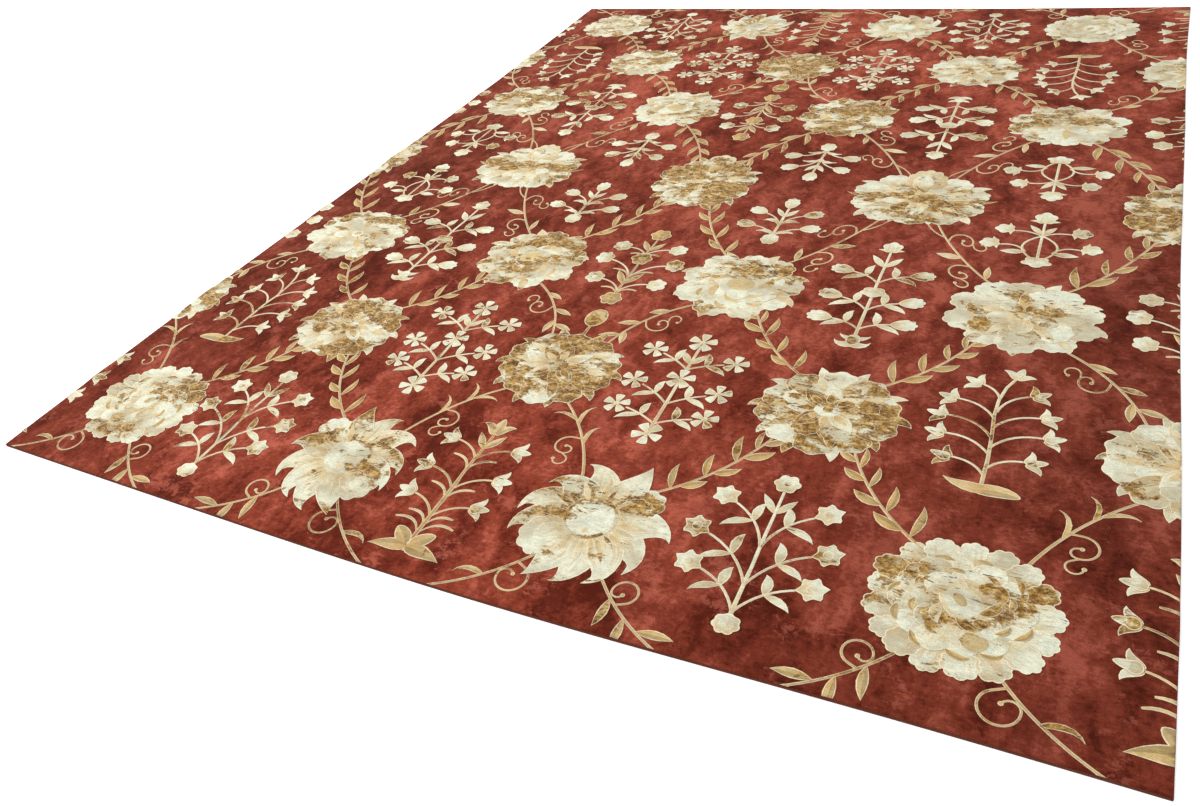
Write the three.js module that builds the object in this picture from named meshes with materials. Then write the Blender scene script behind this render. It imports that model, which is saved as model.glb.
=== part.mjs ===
// A hand-woven pile rug, oushak style, lying flat on a floor.
// Millimetres, +Z up. The origin is on the floor under the middle of the rug.
// +X runs across the rug and +Y runs along it, to its far end.
import * as THREE from 'three';

// Driving sizes
const WIDTH = 2770;
const LENGTH = 3660;
// Pile and woven foundation together
const THICKNESS = 9;
const RUST_RED = 0x8a3b32;

// The edges of a hand-woven rug stray from a straight line. Each row gives how far its edge
// swells outward, in millimetres, as one, two, three and four half waves along that edge.
// The near and far edges are read from left to right, the side edges from near to far.
const EDGE_SWELLS = {
  near: { one: 25, two: 1, three: -3, four: 1 },
  far: { one: -15, two: 6, three: -2, four: 0 },
  left: { one: -7, two: 11, three: 2, four: 1 },
  right: { one: -9, two: 4, three: 1, four: 3 },
};

// Creases left by storage. Each one is a soft ridge, or a trough where its lift is negative:
// a ridge lifts the whole rug, a trough only presses the pile. A crease that runs across lies at
// a place along Y, and one that runs along lies at a place along X. It wanders to each side of
// its line by its drift, and its lift swells and fades along it.
const CREASES = [
  { runs: 'across', at: 1605, lift: 1.6, reach: 75, drift: 10, start: 0.4 },
  { runs: 'across', at: 1110, lift: 2.6, reach: 70, drift: 8, start: 2.1 },
  { runs: 'across', at: 630, lift: 3.0, reach: 75, drift: 12, start: 1.2 },
  { runs: 'across', at: -10, lift: 3.4, reach: 85, drift: 10, start: 4.0 },
  { runs: 'across', at: -500, lift: 3.0, reach: 75, drift: 9, start: 5.3 },
  { runs: 'across', at: -1050, lift: 2.6, reach: 75, drift: 12, start: 3.1 },
  { runs: 'across', at: -1500, lift: 3.2, reach: 80, drift: 8, start: 0.9 },
  { runs: 'along', at: -70, lift: -1.4, reach: 95, drift: 14, start: 2.6 },
];
// Share of a crease's lift that comes and goes along it, the length of one swing of its drift,
// and how many times the lift comes and goes in that length
const CREASE_FADE = 0.35;
const CREASE_WAVE = 1900;
const FADES_PER_WAVE = 1.7;

// Grid lines: places across each crease, as shares of its reach, and the widest step elsewhere
const CREASE_STEPS = [-1, -0.5, 0, 0.5, 1];
const WIDEST_STEP = { across: 150, along: 130 };

// How far an edge swells outward at a share of its length, from 0 to 1
function swell(edge, share) {
  const { one, two, three, four } = EDGE_SWELLS[edge];
  return [one, two, three, four].reduce(
    (sum, size, index) => sum + size * Math.sin(Math.PI * (index + 1) * share), 0);
}

// Moves a point of the straight rectangle to its place in the uneven outline. A swell is
// whole at its own edge and fades evenly to nothing at the opposite one.
function stray(x, y) {
  const right = x / WIDTH + 0.5;
  const far = y / LENGTH + 0.5;
  return {
    x: x + right * swell('right', far) - (1 - right) * swell('left', far),
    y: y + far * swell('far', right) - (1 - far) * swell('near', right),
  };
}

// Height of all the creases at one point of the straight rectangle
function creaseLift(x, y) {
  return CREASES.reduce((sum, crease) => {
    const [along, across] = crease.runs === 'across' ? [x, y] : [y, x];
    const turn = (2 * Math.PI * along) / CREASE_WAVE + crease.start;
    const offLine = (across - crease.at - crease.drift * Math.sin(turn)) / crease.reach;
    const strength = 1 - CREASE_FADE * (0.5 + 0.5 * Math.cos(FADES_PER_WAVE * turn));
    const hump = Math.abs(offLine) < 1 ? (1 - offLine ** 2) ** 2 : 0;
    return sum + crease.lift * strength * hump;
  }, 0);
}

// Grid lines in one direction: close together over the creases and even between them
function gridLines(size, runs, widestStep) {
  const lines = [-size / 2, size / 2];
  for (const crease of CREASES.filter((row) => row.runs === runs)) {
    lines.push(...CREASE_STEPS.map((step) => crease.at + step * crease.reach));
  }
  lines.sort((a, b) => a - b);
  const filled = [lines[0]];
  for (const line of lines.slice(1)) {
    const last = filled[filled.length - 1];
    const steps = Math.ceil((line - last) / widestStep);
    for (let step = 1; step <= steps; step += 1) {
      filled.push(last + ((line - last) * step) / steps);
    }
  }
  return filled;
}

// The rug is one closed slab: a box whose grid is moved to the grid lines, then into the
// outline, then up by the creases.
function rugShape() {
  const xLines = gridLines(WIDTH, 'along', WIDEST_STEP.across);
  const yLines = gridLines(LENGTH, 'across', WIDEST_STEP.along);
  const columns = xLines.length - 1;
  const rows = yLines.length - 1;
  const shape = new THREE.BoxGeometry(WIDTH, LENGTH, THICKNESS, columns, rows, 1);
  const points = shape.getAttribute('position');
  for (let index = 0; index < points.count; index += 1) {
    const x = xLines[Math.round((points.getX(index) / WIDTH + 0.5) * columns)];
    const y = yLines[Math.round((points.getY(index) / LENGTH + 0.5) * rows)];
    const place = stray(x, y);
    const lift = creaseLift(x, y);
    const height = points.getZ(index) > 0 ? THICKNESS + lift : Math.max(lift, 0);
    points.setXYZ(index, place.x, place.y, height);
  }
  shape.computeBoundingBox();
  const middle = shape.boundingBox.getCenter(new THREE.Vector3());
  shape.translate(-middle.x, -middle.y, 0);
  shape.computeVertexNormals();
  return shape;
}

const pile = new THREE.MeshStandardMaterial({ color: RUST_RED, roughness: 0.9, metalness: 0 });
const rug = new THREE.Mesh(rugShape(), pile);
rug.name = 'rug';

const part = new THREE.Group();
part.add(rug);

export default part;
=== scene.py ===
# %% [markdown]
# A hand-knotted rug in rust-red wool, with flower heads, sprigs and vines in cream and
# gold silk. The script builds it in the order in which a weaver would explain it: the sheet
# that lies on the floor, the flowers that are knotted into it, and the finish of the pile.
# Everything is in metres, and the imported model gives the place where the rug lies.

# %% The fixed frame
import math
import random
from collections import namedtuple

import bmesh
import bpy
import numpy as np
from mathutils import Matrix, Vector


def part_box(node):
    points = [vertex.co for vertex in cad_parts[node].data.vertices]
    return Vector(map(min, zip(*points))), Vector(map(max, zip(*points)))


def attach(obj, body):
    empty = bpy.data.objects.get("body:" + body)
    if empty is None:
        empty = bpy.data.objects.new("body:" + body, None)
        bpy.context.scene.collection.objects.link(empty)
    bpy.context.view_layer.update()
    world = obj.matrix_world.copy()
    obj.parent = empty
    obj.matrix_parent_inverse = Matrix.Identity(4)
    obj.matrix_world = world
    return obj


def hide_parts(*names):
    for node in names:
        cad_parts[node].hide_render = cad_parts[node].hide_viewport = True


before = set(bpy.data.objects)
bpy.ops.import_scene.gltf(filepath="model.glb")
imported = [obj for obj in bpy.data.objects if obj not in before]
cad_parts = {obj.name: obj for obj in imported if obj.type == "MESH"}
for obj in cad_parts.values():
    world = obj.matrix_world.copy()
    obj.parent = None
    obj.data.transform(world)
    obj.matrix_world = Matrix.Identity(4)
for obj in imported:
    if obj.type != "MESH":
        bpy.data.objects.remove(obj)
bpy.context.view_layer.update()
RUG_LOW, RUG_HIGH = (Vector(corner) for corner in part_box("rug"))
print("rug solid lies between", tuple(RUG_LOW), "and", tuple(RUG_HIGH))

# %% [markdown]
# A rug is woven as a rectangle, but wool stretches and shrinks, so its edges stray by a
# few centimetres. The same short tables as in the solid give that uneven outline and the soft
# creases left by folding it for storage. The pattern is drawn on the straight rectangle and then
# carried along by the same two functions, so that cloth and flowers can never part.

# %% Sizes of the sheet
WIDTH = 2.770
LENGTH = 3.660
THICKNESS = 0.009

Swells = namedtuple("Swells", "one two three four")
EDGE_SWELLS = {
    "near": Swells(0.025, 0.001, -0.003, 0.001),
    "far": Swells(-0.015, 0.006, -0.002, 0.0),
    "left": Swells(-0.007, 0.011, 0.002, 0.001),
    "right": Swells(-0.009, 0.004, 0.001, 0.003),
}

Crease = namedtuple("Crease", "runs at lift reach drift start")
CREASES = (
    Crease("across", 1.605, 0.0016, 0.075, 0.010, 0.4),
    Crease("across", 1.110, 0.0026, 0.070, 0.008, 2.1),
    Crease("across", 0.630, 0.0030, 0.075, 0.012, 1.2),
    Crease("across", -0.010, 0.0034, 0.085, 0.010, 4.0),
    Crease("across", -0.500, 0.0030, 0.075, 0.009, 5.3),
    Crease("across", -1.050, 0.0026, 0.075, 0.012, 3.1),
    Crease("across", -1.500, 0.0032, 0.080, 0.008, 0.9),
    Crease("along", -0.070, -0.0014, 0.095, 0.014, 2.6),
)
CREASE_FADE = 0.35
CREASE_WAVE = 1.9
FADES_PER_WAVE = 1.7
HIGHEST_CREASE = 0.0034
PILE_UNEVEN = 0.00012


def swell(edge, share):
    """How far an edge swells outward at a share of its length."""
    waves = EDGE_SWELLS[edge]
    return sum(size * np.sin(math.pi * (order + 1) * share) for order, size in enumerate(waves))


def stray(x, y):
    """Moves places on the straight rectangle into the uneven outline."""
    right = x / WIDTH + 0.5
    far = y / LENGTH + 0.5
    return (
        x + right * swell("right", far) - (1 - right) * swell("left", far),
        y + far * swell("far", right) - (1 - far) * swell("near", right),
    )


def crease_lift(x, y):
    """Height of all the creases at places on the straight rectangle."""
    lift = np.zeros_like(x)
    for crease in CREASES:
        along, across = (x, y) if crease.runs == "across" else (y, x)
        turn = 2 * math.pi * along / CREASE_WAVE + crease.start
        off_line = (across - crease.at - crease.drift * np.sin(turn)) / crease.reach
        strength = 1 - CREASE_FADE * (0.5 + 0.5 * np.cos(FADES_PER_WAVE * turn))
        hump = np.clip(1 - off_line**2, 0, None) ** 2
        lift += crease.lift * strength * hump
    return lift


rim_shares = np.linspace(0, 1, 400)
rim_x = np.concatenate([rim_shares - 0.5, rim_shares - 0.5, rim_shares * 0 - 0.5, rim_shares * 0 + 0.5])
rim_y = np.concatenate([rim_shares * 0 - 0.5, rim_shares * 0 + 0.5, rim_shares - 0.5, rim_shares - 0.5])
strayed_x, strayed_y = stray(rim_x * WIDTH, rim_y * LENGTH)
SHIFT_X = (RUG_LOW.x + RUG_HIGH.x - strayed_x.min() - strayed_x.max()) / 2
SHIFT_Y = (RUG_LOW.y + RUG_HIGH.y - strayed_y.min() - strayed_y.max()) / 2
print(f"outline is shifted by {SHIFT_X * 1000:.1f} mm and {SHIFT_Y * 1000:.1f} mm to lie on the solid")


def pile_waves(x, y):
    """The slight unevenness of a hand-clipped pile: a few long, slanting ripples."""
    waves = ((11.0, 5.0, 0.4), (-6.0, 13.0, 1.9), (21.0, -17.0, 3.1), (9.0, 31.0, 4.4))
    return PILE_UNEVEN * sum(np.sin(x * along + y * across + start) for along, across, start in waves)


def lay_down(mesh):
    """Carries a mesh drawn on the straight rectangle onto the creased, uneven rug."""
    places = np.empty(len(mesh.vertices) * 3)
    mesh.vertices.foreach_get("co", places)
    places = places.reshape(-1, 3)
    x, y = stray(places[:, 0], places[:, 1])
    lift = crease_lift(places[:, 0], places[:, 1])
    underside = places[:, 2] < THICKNESS / 2
    waves = pile_waves(places[:, 0], places[:, 1])
    places[:, 2] += np.where(underside, np.maximum(lift, 0), lift + waves)
    places[:, 0] = x + SHIFT_X
    places[:, 1] = y + SHIFT_Y
    mesh.vertices.foreach_set("co", places.ravel())
    # The crease mark tells the silk where to paint more bronze sheen and dark flecks of painted shade.
    crease = mesh.attributes.new("crease", "FLOAT", "POINT")
    crease.data.foreach_set("value", np.abs(lift) / HIGHEST_CREASE)
    mesh.update()


# %% [markdown]
# The camera stands where the photographer stood. The four corners of the rug are known in
# the picture and on the rug, and four pairs of points on one plane fix a camera completely: a
# small system of equations gives the plane's projection, and its columns give the camera's
# axes and place. Corners are used because they can be read to within a pixel.

# %% Camera from the four corners
PICTURE_WIDTH = 1200
PICTURE_HEIGHT = 806
SENSOR_WIDTH = 36.0
FOCAL_PIXELS = 936.0
Corner = namedtuple("Corner", "side end across down")
CORNERS = (
    Corner(-1, -1, 4.8, 444.0),
    Corner(1, -1, 1173.8, 799.0),
    Corner(1, 1, 1190.7, 6.3),
    Corner(-1, 1, 591.6, 8.5),
)


def plane_projection(pairs):
    """The 3 by 3 projection that takes points of a plane to points of the picture."""
    rows, values = [], []
    for (x, y), (u, v) in pairs:
        rows.append([x, y, 1, 0, 0, 0, -u * x, -u * y])
        rows.append([0, 0, 0, x, y, 1, -v * x, -v * y])
        values.extend([u, v])
    return np.append(np.linalg.solve(np.array(rows), np.array(values)), 1).reshape(3, 3)


def make_camera():
    pairs = []
    for corner in CORNERS:
        on_rug = (corner.side * WIDTH / 2 + SHIFT_X, corner.end * LENGTH / 2 + SHIFT_Y)
        in_lens = (
            (corner.across - PICTURE_WIDTH / 2) / FOCAL_PIXELS,
            (corner.down - PICTURE_HEIGHT / 2) / FOCAL_PIXELS,
        )
        pairs.append((on_rug, in_lens))
    projection = plane_projection(pairs)
    size = (np.linalg.norm(projection[:, 0]) + np.linalg.norm(projection[:, 1])) / 2
    right, far, place = (projection / size).T
    if place[2] < 0:
        right, far, place = -right, -far, -place
    axes = np.column_stack([right, far, np.cross(right, far)])
    left_turn, _, right_turn = np.linalg.svd(axes)
    axes = left_turn @ right_turn
    stand = -axes.T @ place + np.array([0, 0, THICKNESS])
    camera = bpy.data.objects.new("camera", bpy.data.cameras.new("camera"))
    bpy.context.scene.collection.objects.link(camera)
    turn = Matrix((axes * np.array([[1], [-1], [-1]])).T.tolist())
    camera.matrix_world = Matrix.Translation(stand.tolist()) @ turn.to_4x4()
    camera.data.sensor_width = SENSOR_WIDTH
    camera.data.lens = FOCAL_PIXELS / PICTURE_WIDTH * SENSOR_WIDTH
    camera.data.clip_end = 300
    bpy.context.scene.camera = camera
    print("camera stands at", [round(value, 3) for value in stand])
    return camera


camera = make_camera()

# %% [markdown]
# The floor is plain and pale, and the light is soft, as in a studio: a bright even sky and
# one very large lamp from the far left. A low angle of the lamp makes the creases and the
# carved edges of the flowers readable.

# %% Floor and light
FLOOR_SIZE = 90.0


def make_floor():
    bm = bmesh.new()
    bmesh.ops.create_grid(bm, x_segments=1, y_segments=1, size=FLOOR_SIZE / 2)
    mesh = bpy.data.meshes.new("floor")
    bm.to_mesh(mesh)
    bm.free()
    floor = bpy.data.objects.new("floor", mesh)
    bpy.context.scene.collection.objects.link(floor)
    material = bpy.data.materials.new("pale floor")
    material.use_nodes = True
    shader = material.node_tree.nodes["Principled BSDF"]
    shader.inputs["Base Color"].default_value = (0.90, 0.90, 0.90, 1)
    shader.inputs["Roughness"].default_value = 0.9
    shader.inputs["Emission Color"].default_value = (1, 1, 1, 1)
    shader.inputs["Emission Strength"].default_value = 0.50
    mesh.materials.append(material)


def make_lamp(name, place, aim, size, watts):
    lamp = bpy.data.objects.new(name, bpy.data.lights.new(name, "AREA"))
    lamp.data.size = size
    lamp.data.energy = watts
    lamp.location = place
    lamp.rotation_euler = (Vector(aim) - Vector(place)).to_track_quat("-Z", "Y").to_euler()
    bpy.context.scene.collection.objects.link(lamp)


make_floor()
make_lamp("window", (-4.4, 0.2, 7.8), (0, 0, 0), 5.0, 765)
world = bpy.data.worlds.new("studio")
world.use_nodes = True
world.node_tree.nodes["Background"].inputs["Color"].default_value = (1, 1, 1, 1)
world.node_tree.nodes["Background"].inputs["Strength"].default_value = 0.63
bpy.context.scene.world = world
bpy.context.scene.view_settings.view_transform = "Standard"

# %% [markdown]
# The finishes share a few effects, so each effect is a node group with its own dials. The
# first is the lie of the pile: where feet or a broom have brushed it the other way, cut pile
# catches the light differently. That is painted into the colour as a darker or lighter patch,
# a painted shade and sheen, with a crisp, ragged edge and a painted shadow line along it. The
# second is the grain of the tufts, whose lower tufts get a painted shade. The third is the silk
# itself, which three finishes use with different amounts of bronze, a painted sheen.

# %% Helpers for node trees
def add_node(tree, kind, inputs=None, **settings):
    """Adds one node, sets its options, and links or sets its inputs."""
    made = tree.nodes.new(kind)
    for name, value in settings.items():
        setattr(made, name, value)
    for name, value in (inputs or {}).items():
        socket = made.inputs[name]
        if isinstance(value, bpy.types.NodeSocket):
            tree.links.new(value, socket)
        else:
            socket.default_value = value
    return made


def add_math(tree, operation, first, second=0.0):
    return add_node(tree, "ShaderNodeMath", {0: first, 1: second}, operation=operation).outputs[0]


def add_sum(tree, *terms):
    """Adds values, each given with its weight."""
    total = 0.0
    for value, weight in terms:
        total = add_math(tree, "ADD", add_math(tree, "MULTIPLY", value, weight), total)
    return total


def add_range(tree, value, low, high, new_low=0.0, new_high=1.0):
    """Eases a value from one range into another."""
    limits = {"Value": value, "From Min": low, "From Max": high, "To Min": new_low, "To Max": new_high}
    node = add_node(tree, "ShaderNodeMapRange", limits, interpolation_type="SMOOTHSTEP")
    return node.outputs["Result"]


def add_colour_mix(tree, factor, first, second, blend="MIX"):
    inputs = {0: factor, 6: first, 7: second}
    mixer = add_node(tree, "ShaderNodeMix", inputs, data_type="RGBA", blend_type=blend)
    return mixer.outputs[2]


def add_shade(tree, colour, value):
    """Makes a colour lighter or darker by a value."""
    grey = add_node(tree, "ShaderNodeCombineXYZ", {0: value, 1: value, 2: value}).outputs[0]
    return add_colour_mix(tree, 1.0, colour, grey, blend="MULTIPLY")


def add_noise(tree, vector, scale, stretch=(1, 1, 1), detail=3.0, roughness=0.5, bend=0.0):
    """Noise whose grain can be stretched on the rug."""
    mapping = add_node(tree, "ShaderNodeMapping", {"Vector": vector, "Scale": stretch})
    inputs = {"Vector": mapping.outputs[0], "Scale": scale, "Detail": detail}
    inputs |= {"Roughness": roughness, "Distortion": bend}
    return add_node(tree, "ShaderNodeTexNoise", inputs).outputs["Fac"]


def add_mark(tree, name):
    """A number that the mesh carries at its points."""
    return add_node(tree, "ShaderNodeAttribute", attribute_name=name).outputs["Fac"]


def new_group(name, inputs, outputs):
    """A shader group with named dials: colours and floats in, colours and floats out."""
    group = bpy.data.node_groups.new(name, "ShaderNodeTree")
    kinds = {"float": "NodeSocketFloat", "colour": "NodeSocketColor", "vector": "NodeSocketVector"}
    for label, kind in inputs.items():
        group.interface.new_socket(label, in_out="INPUT", socket_type=kinds[kind])
    for label, kind in outputs.items():
        group.interface.new_socket(label, in_out="OUTPUT", socket_type=kinds[kind])
    return group, group.nodes.new("NodeGroupInput").outputs, group.nodes.new("NodeGroupOutput").inputs


def apply_group(tree, group, inputs):
    node = add_node(tree, "ShaderNodeGroup", None, node_tree=group)
    for name, value in inputs.items():
        if isinstance(value, bpy.types.NodeSocket):
            tree.links.new(value, node.inputs[name])
        else:
            node.inputs[name].default_value = value
    return node.outputs


# %% Groups for the lie of the pile and for its tufts
def brushed_patches_group():
    """A mask of patches: the gather noise says where they lie, the ragged one draws their edges. The line is a narrow
    band along those edges, which the finishes use as a painted shadow line.
    """
    group, dials, results = new_group(
        "brushed patches",
        {"Vector": "vector", "Gather": "float", "Grain": "float", "Amount": "float"},
        {"Mask": "float", "Soft": "float", "Line": "float"},
    )
    gather = add_noise(group, dials["Vector"], dials["Gather"], detail=2.0, bend=0.4)
    ragged = add_noise(group, dials["Vector"], dials["Grain"], (0.9, 1.1, 1), 6.0, 0.66, 0.7)
    fine = add_noise(group, dials["Vector"], add_math(group, "MULTIPLY", dials["Grain"], 6.0), detail=3.0)
    over = add_sum(group, (gather, 0.55), (ragged, 0.45), (fine, 0.12), (dials["Amount"], 1.0), (-0.06, 1.0))
    group.links.new(add_range(group, over, 0.985, 1.035), results["Mask"])
    group.links.new(add_range(group, over, 0.90, 1.08), results["Soft"])
    line = add_math(group, "MULTIPLY", add_range(group, over, 0.990, 1.004), add_range(group, over, 1.030, 1.006))
    group.links.new(line, results["Line"])
    return group


def pile_tufts_group():
    """Rows of knots and the single tufts in them, as a height and as a painted shade that darkens the lower tufts."""
    group, dials, results = new_group(
        "pile tufts", {"Vector": "vector", "Tuft": "float"}, {"Height": "float", "Shade": "float"}
    )
    tuft = add_noise(group, dials["Vector"], dials["Tuft"], detail=2.0, roughness=0.6)
    row = add_noise(group, dials["Vector"], dials["Tuft"], (0.14, 0.7, 1), detail=2.0)
    height = add_sum(group, (tuft, 0.65), (row, 0.35))
    group.links.new(height, results["Height"])
    group.links.new(add_range(group, height, 0.36, 0.64, 0.80, 1.16), results["Shade"])
    return group


BRUSHED = brushed_patches_group()
TUFTS = pile_tufts_group()

# %% [markdown]
# Wool first. Hand-dyed wool never takes the colour evenly, so a real field is cloudy: broad
# light and dark clouds and faint streaks along the weft. Small scuffs and crisp brushed patches
# are a painted sheen and a painted shade, where the pile lies the other way. The field is also
# painted lighter towards both ends and darker towards the left side, as painted light and shade,
# and darker at the near right corner, partly as uneven dye and partly as painted shade.
# A soft sheen on the shader gives the velvet look of cut pile at a low angle.

# %% Wool pile
WOOL_DARK = (0.086, 0.012, 0.0055, 1)
WOOL_MID = (0.186, 0.033, 0.017, 1)
WOOL_LIGHT = (0.335, 0.078, 0.048, 1)
WOOL_BRUSHED_SHADE = (0.68, 0.60, 0.58, 1)
WOOL_SCUFF_SHEEN = (0.350, 0.090, 0.058, 1)
BACK_RED = (0.085, 0.018, 0.010, 1)
BACK_WARP = (0.200, 0.070, 0.035, 1)


def start_material(name):
    material = bpy.data.materials.new(name)
    material.use_nodes = True
    tree = material.node_tree
    place = add_node(tree, "ShaderNodeTexCoord").outputs["Object"]
    return material, tree, tree.nodes["Principled BSDF"], place


def add_bump(tree, shader, height, strength, distance):
    inputs = {"Strength": strength, "Distance": distance, "Height": height}
    tree.links.new(add_node(tree, "ShaderNodeBump", inputs).outputs["Normal"], shader.inputs["Normal"])


def wool_material():
    material, tree, shader, place = start_material("rust wool pile")
    broad = add_noise(tree, place, 1.1, (1.2, 0.8, 1), detail=2.0)
    clouds = add_noise(tree, place, 5.5, (1.3, 0.75, 1), 4.0, 0.55, 0.6)
    mottle = add_noise(tree, place, 19.0, (1.25, 0.75, 1), 6.0, 0.68, 0.5)
    streaks = add_noise(tree, place, 90.0, (0.8, 1.2, 1), 3.0, 0.6)
    blend = add_sum(tree, (broad, 0.22), (clouds, 0.31), (mottle, 0.33), (streaks, 0.14))
    patches = apply_group(tree, BRUSHED, {"Vector": place, "Gather": 6.0, "Grain": 24.0, "Amount": 0.48})
    sheen_scuffs = apply_group(tree, BRUSHED, {"Vector": place, "Gather": 11.0, "Grain": 60.0, "Amount": 0.42})
    tufts = apply_group(tree, TUFTS, {"Vector": place, "Tuft": 420.0})
    lower = add_colour_mix(tree, add_range(tree, blend, 0.415, 0.505), WOOL_DARK, WOOL_MID)
    colour = add_colour_mix(tree, add_range(tree, blend, 0.495, 0.585), lower, WOOL_LIGHT)
    # Brushed patches: a painted shade where the pile lies the other way, with a painted shadow line along their edges.
    brushed = add_colour_mix(tree, 1.0, colour, WOOL_BRUSHED_SHADE, blend="MULTIPLY")
    colour = add_colour_mix(tree, add_sum(tree, (patches["Mask"], 0.7), (patches["Line"], 0.3)), colour, brushed)
    # Small scuffs: lighter, pinker patches, a painted sheen where the pile lies the other way.
    sheen_scuffed = add_math(tree, "MULTIPLY", sheen_scuffs["Mask"], 0.50)
    colour = add_colour_mix(tree, sheen_scuffed, colour, WOOL_SCUFF_SHEEN)
    # Painted light and shade over the field: lighter towards the near and the far end, darker towards the left side,
    # and darker at the near right corner, there partly uneven dye and partly painted shade.
    across = add_node(tree, "ShaderNodeSeparateXYZ", {0: place})
    corner = add_sum(tree, (across.outputs[0], 0.70), (across.outputs[1], -0.30))
    colour = add_shade(tree, colour, add_range(tree, across.outputs[1], -1.9, -0.3, 1.28, 0.98))
    colour = add_shade(tree, colour, add_range(tree, across.outputs[1], -0.2, 1.3, 1.0, 1.18))
    colour = add_shade(tree, colour, add_range(tree, corner, 0.50, 1.30, 1.0, 0.66))
    colour = add_shade(tree, colour, add_range(tree, across.outputs[0], -1.40, -0.40, 0.74, 1.0))
    # Painted shade on the lower tufts of the wool.
    colour = add_shade(tree, colour, tufts["Shade"])
    tree.links.new(colour, shader.inputs["Base Color"])
    add_bump(tree, shader, tufts["Height"], 0.5, 0.0012)
    shader.inputs["Roughness"].default_value = 0.95
    shader.inputs["Specular IOR Level"].default_value = 0.05
    shader.inputs["Sheen Weight"].default_value = 0.13
    shader.inputs["Sheen Roughness"].default_value = 0.45
    shader.inputs["Sheen Tint"].default_value = (1.0, 0.42, 0.30, 1)
    return material


def back_material():
    material, tree, shader, place = start_material("woven back")
    inputs = {"Vector": place, "Scale": 150.0, "Distortion": 0.6, "Detail": 1.0}
    warps = add_node(tree, "ShaderNodeTexWave", inputs, bands_direction="X").outputs["Fac"]
    mottle = add_noise(tree, place, 40.0, (0.6, 1.4, 1), detail=4.0)
    mask = add_math(tree, "MULTIPLY", add_range(tree, warps, 0.3, 0.9), mottle)
    tree.links.new(add_colour_mix(tree, mask, BACK_RED, BACK_WARP), shader.inputs["Base Color"])
    add_bump(tree, shader, warps, 0.5, 0.0008)
    shader.inputs["Roughness"].default_value = 0.95
    shader.inputs["Specular IOR Level"].default_value = 0.1
    return material


WOOL = wool_material()
BACK = back_material()

# %% [markdown]
# Silk is the bright part of the rug. Its base is cream, peach or gold, chosen petal by petal
# with an attribute on the mesh. Peach ribs follow each petal through two more attributes, how
# far along it a point lies and how far to the side. The brushed patches are strong here,
# because silk whose pile lies the other way reflects less light, and this is painted into its
# colour as bronze and gold: a painted sheen, heavier along the creases. Every petal leans a
# little differently, so the bronze often stops at its rim. Each petal is also painted darker
# towards its root, as painted shade, with a painted highlight along its rim and painted shadow
# lines round its foot.

# %% Silk pile
SILK_CREAM = (0.645, 0.650, 0.505, 1)
SILK_PEACH = (0.580, 0.445, 0.220, 1)
SILK_GOLD = (0.460, 0.285, 0.075, 1)
SILK_OLIVE = (0.460, 0.375, 0.210, 1)
SILK_SHADE = (0.330, 0.250, 0.130, 1)
SILK_ROOT_SHADE = (0.82, 0.66, 0.42, 1)
SILK_RIB = (0.570, 0.370, 0.180, 1)
SILK_BRONZE_SHEEN = (0.235, 0.115, 0.020, 1)
SILK_SPECK = (0.085, 0.034, 0.005, 1)
# Painted highlight and painted shadow colours for the edges of the islands.
SILK_RIM_HIGHLIGHT = (0.800, 0.720, 0.520, 1)
SILK_UNDER_SHADOW = (0.400, 0.250, 0.085, 1)
SILK_SKIRT_SHADOW = (0.150, 0.058, 0.026, 1)


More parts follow.
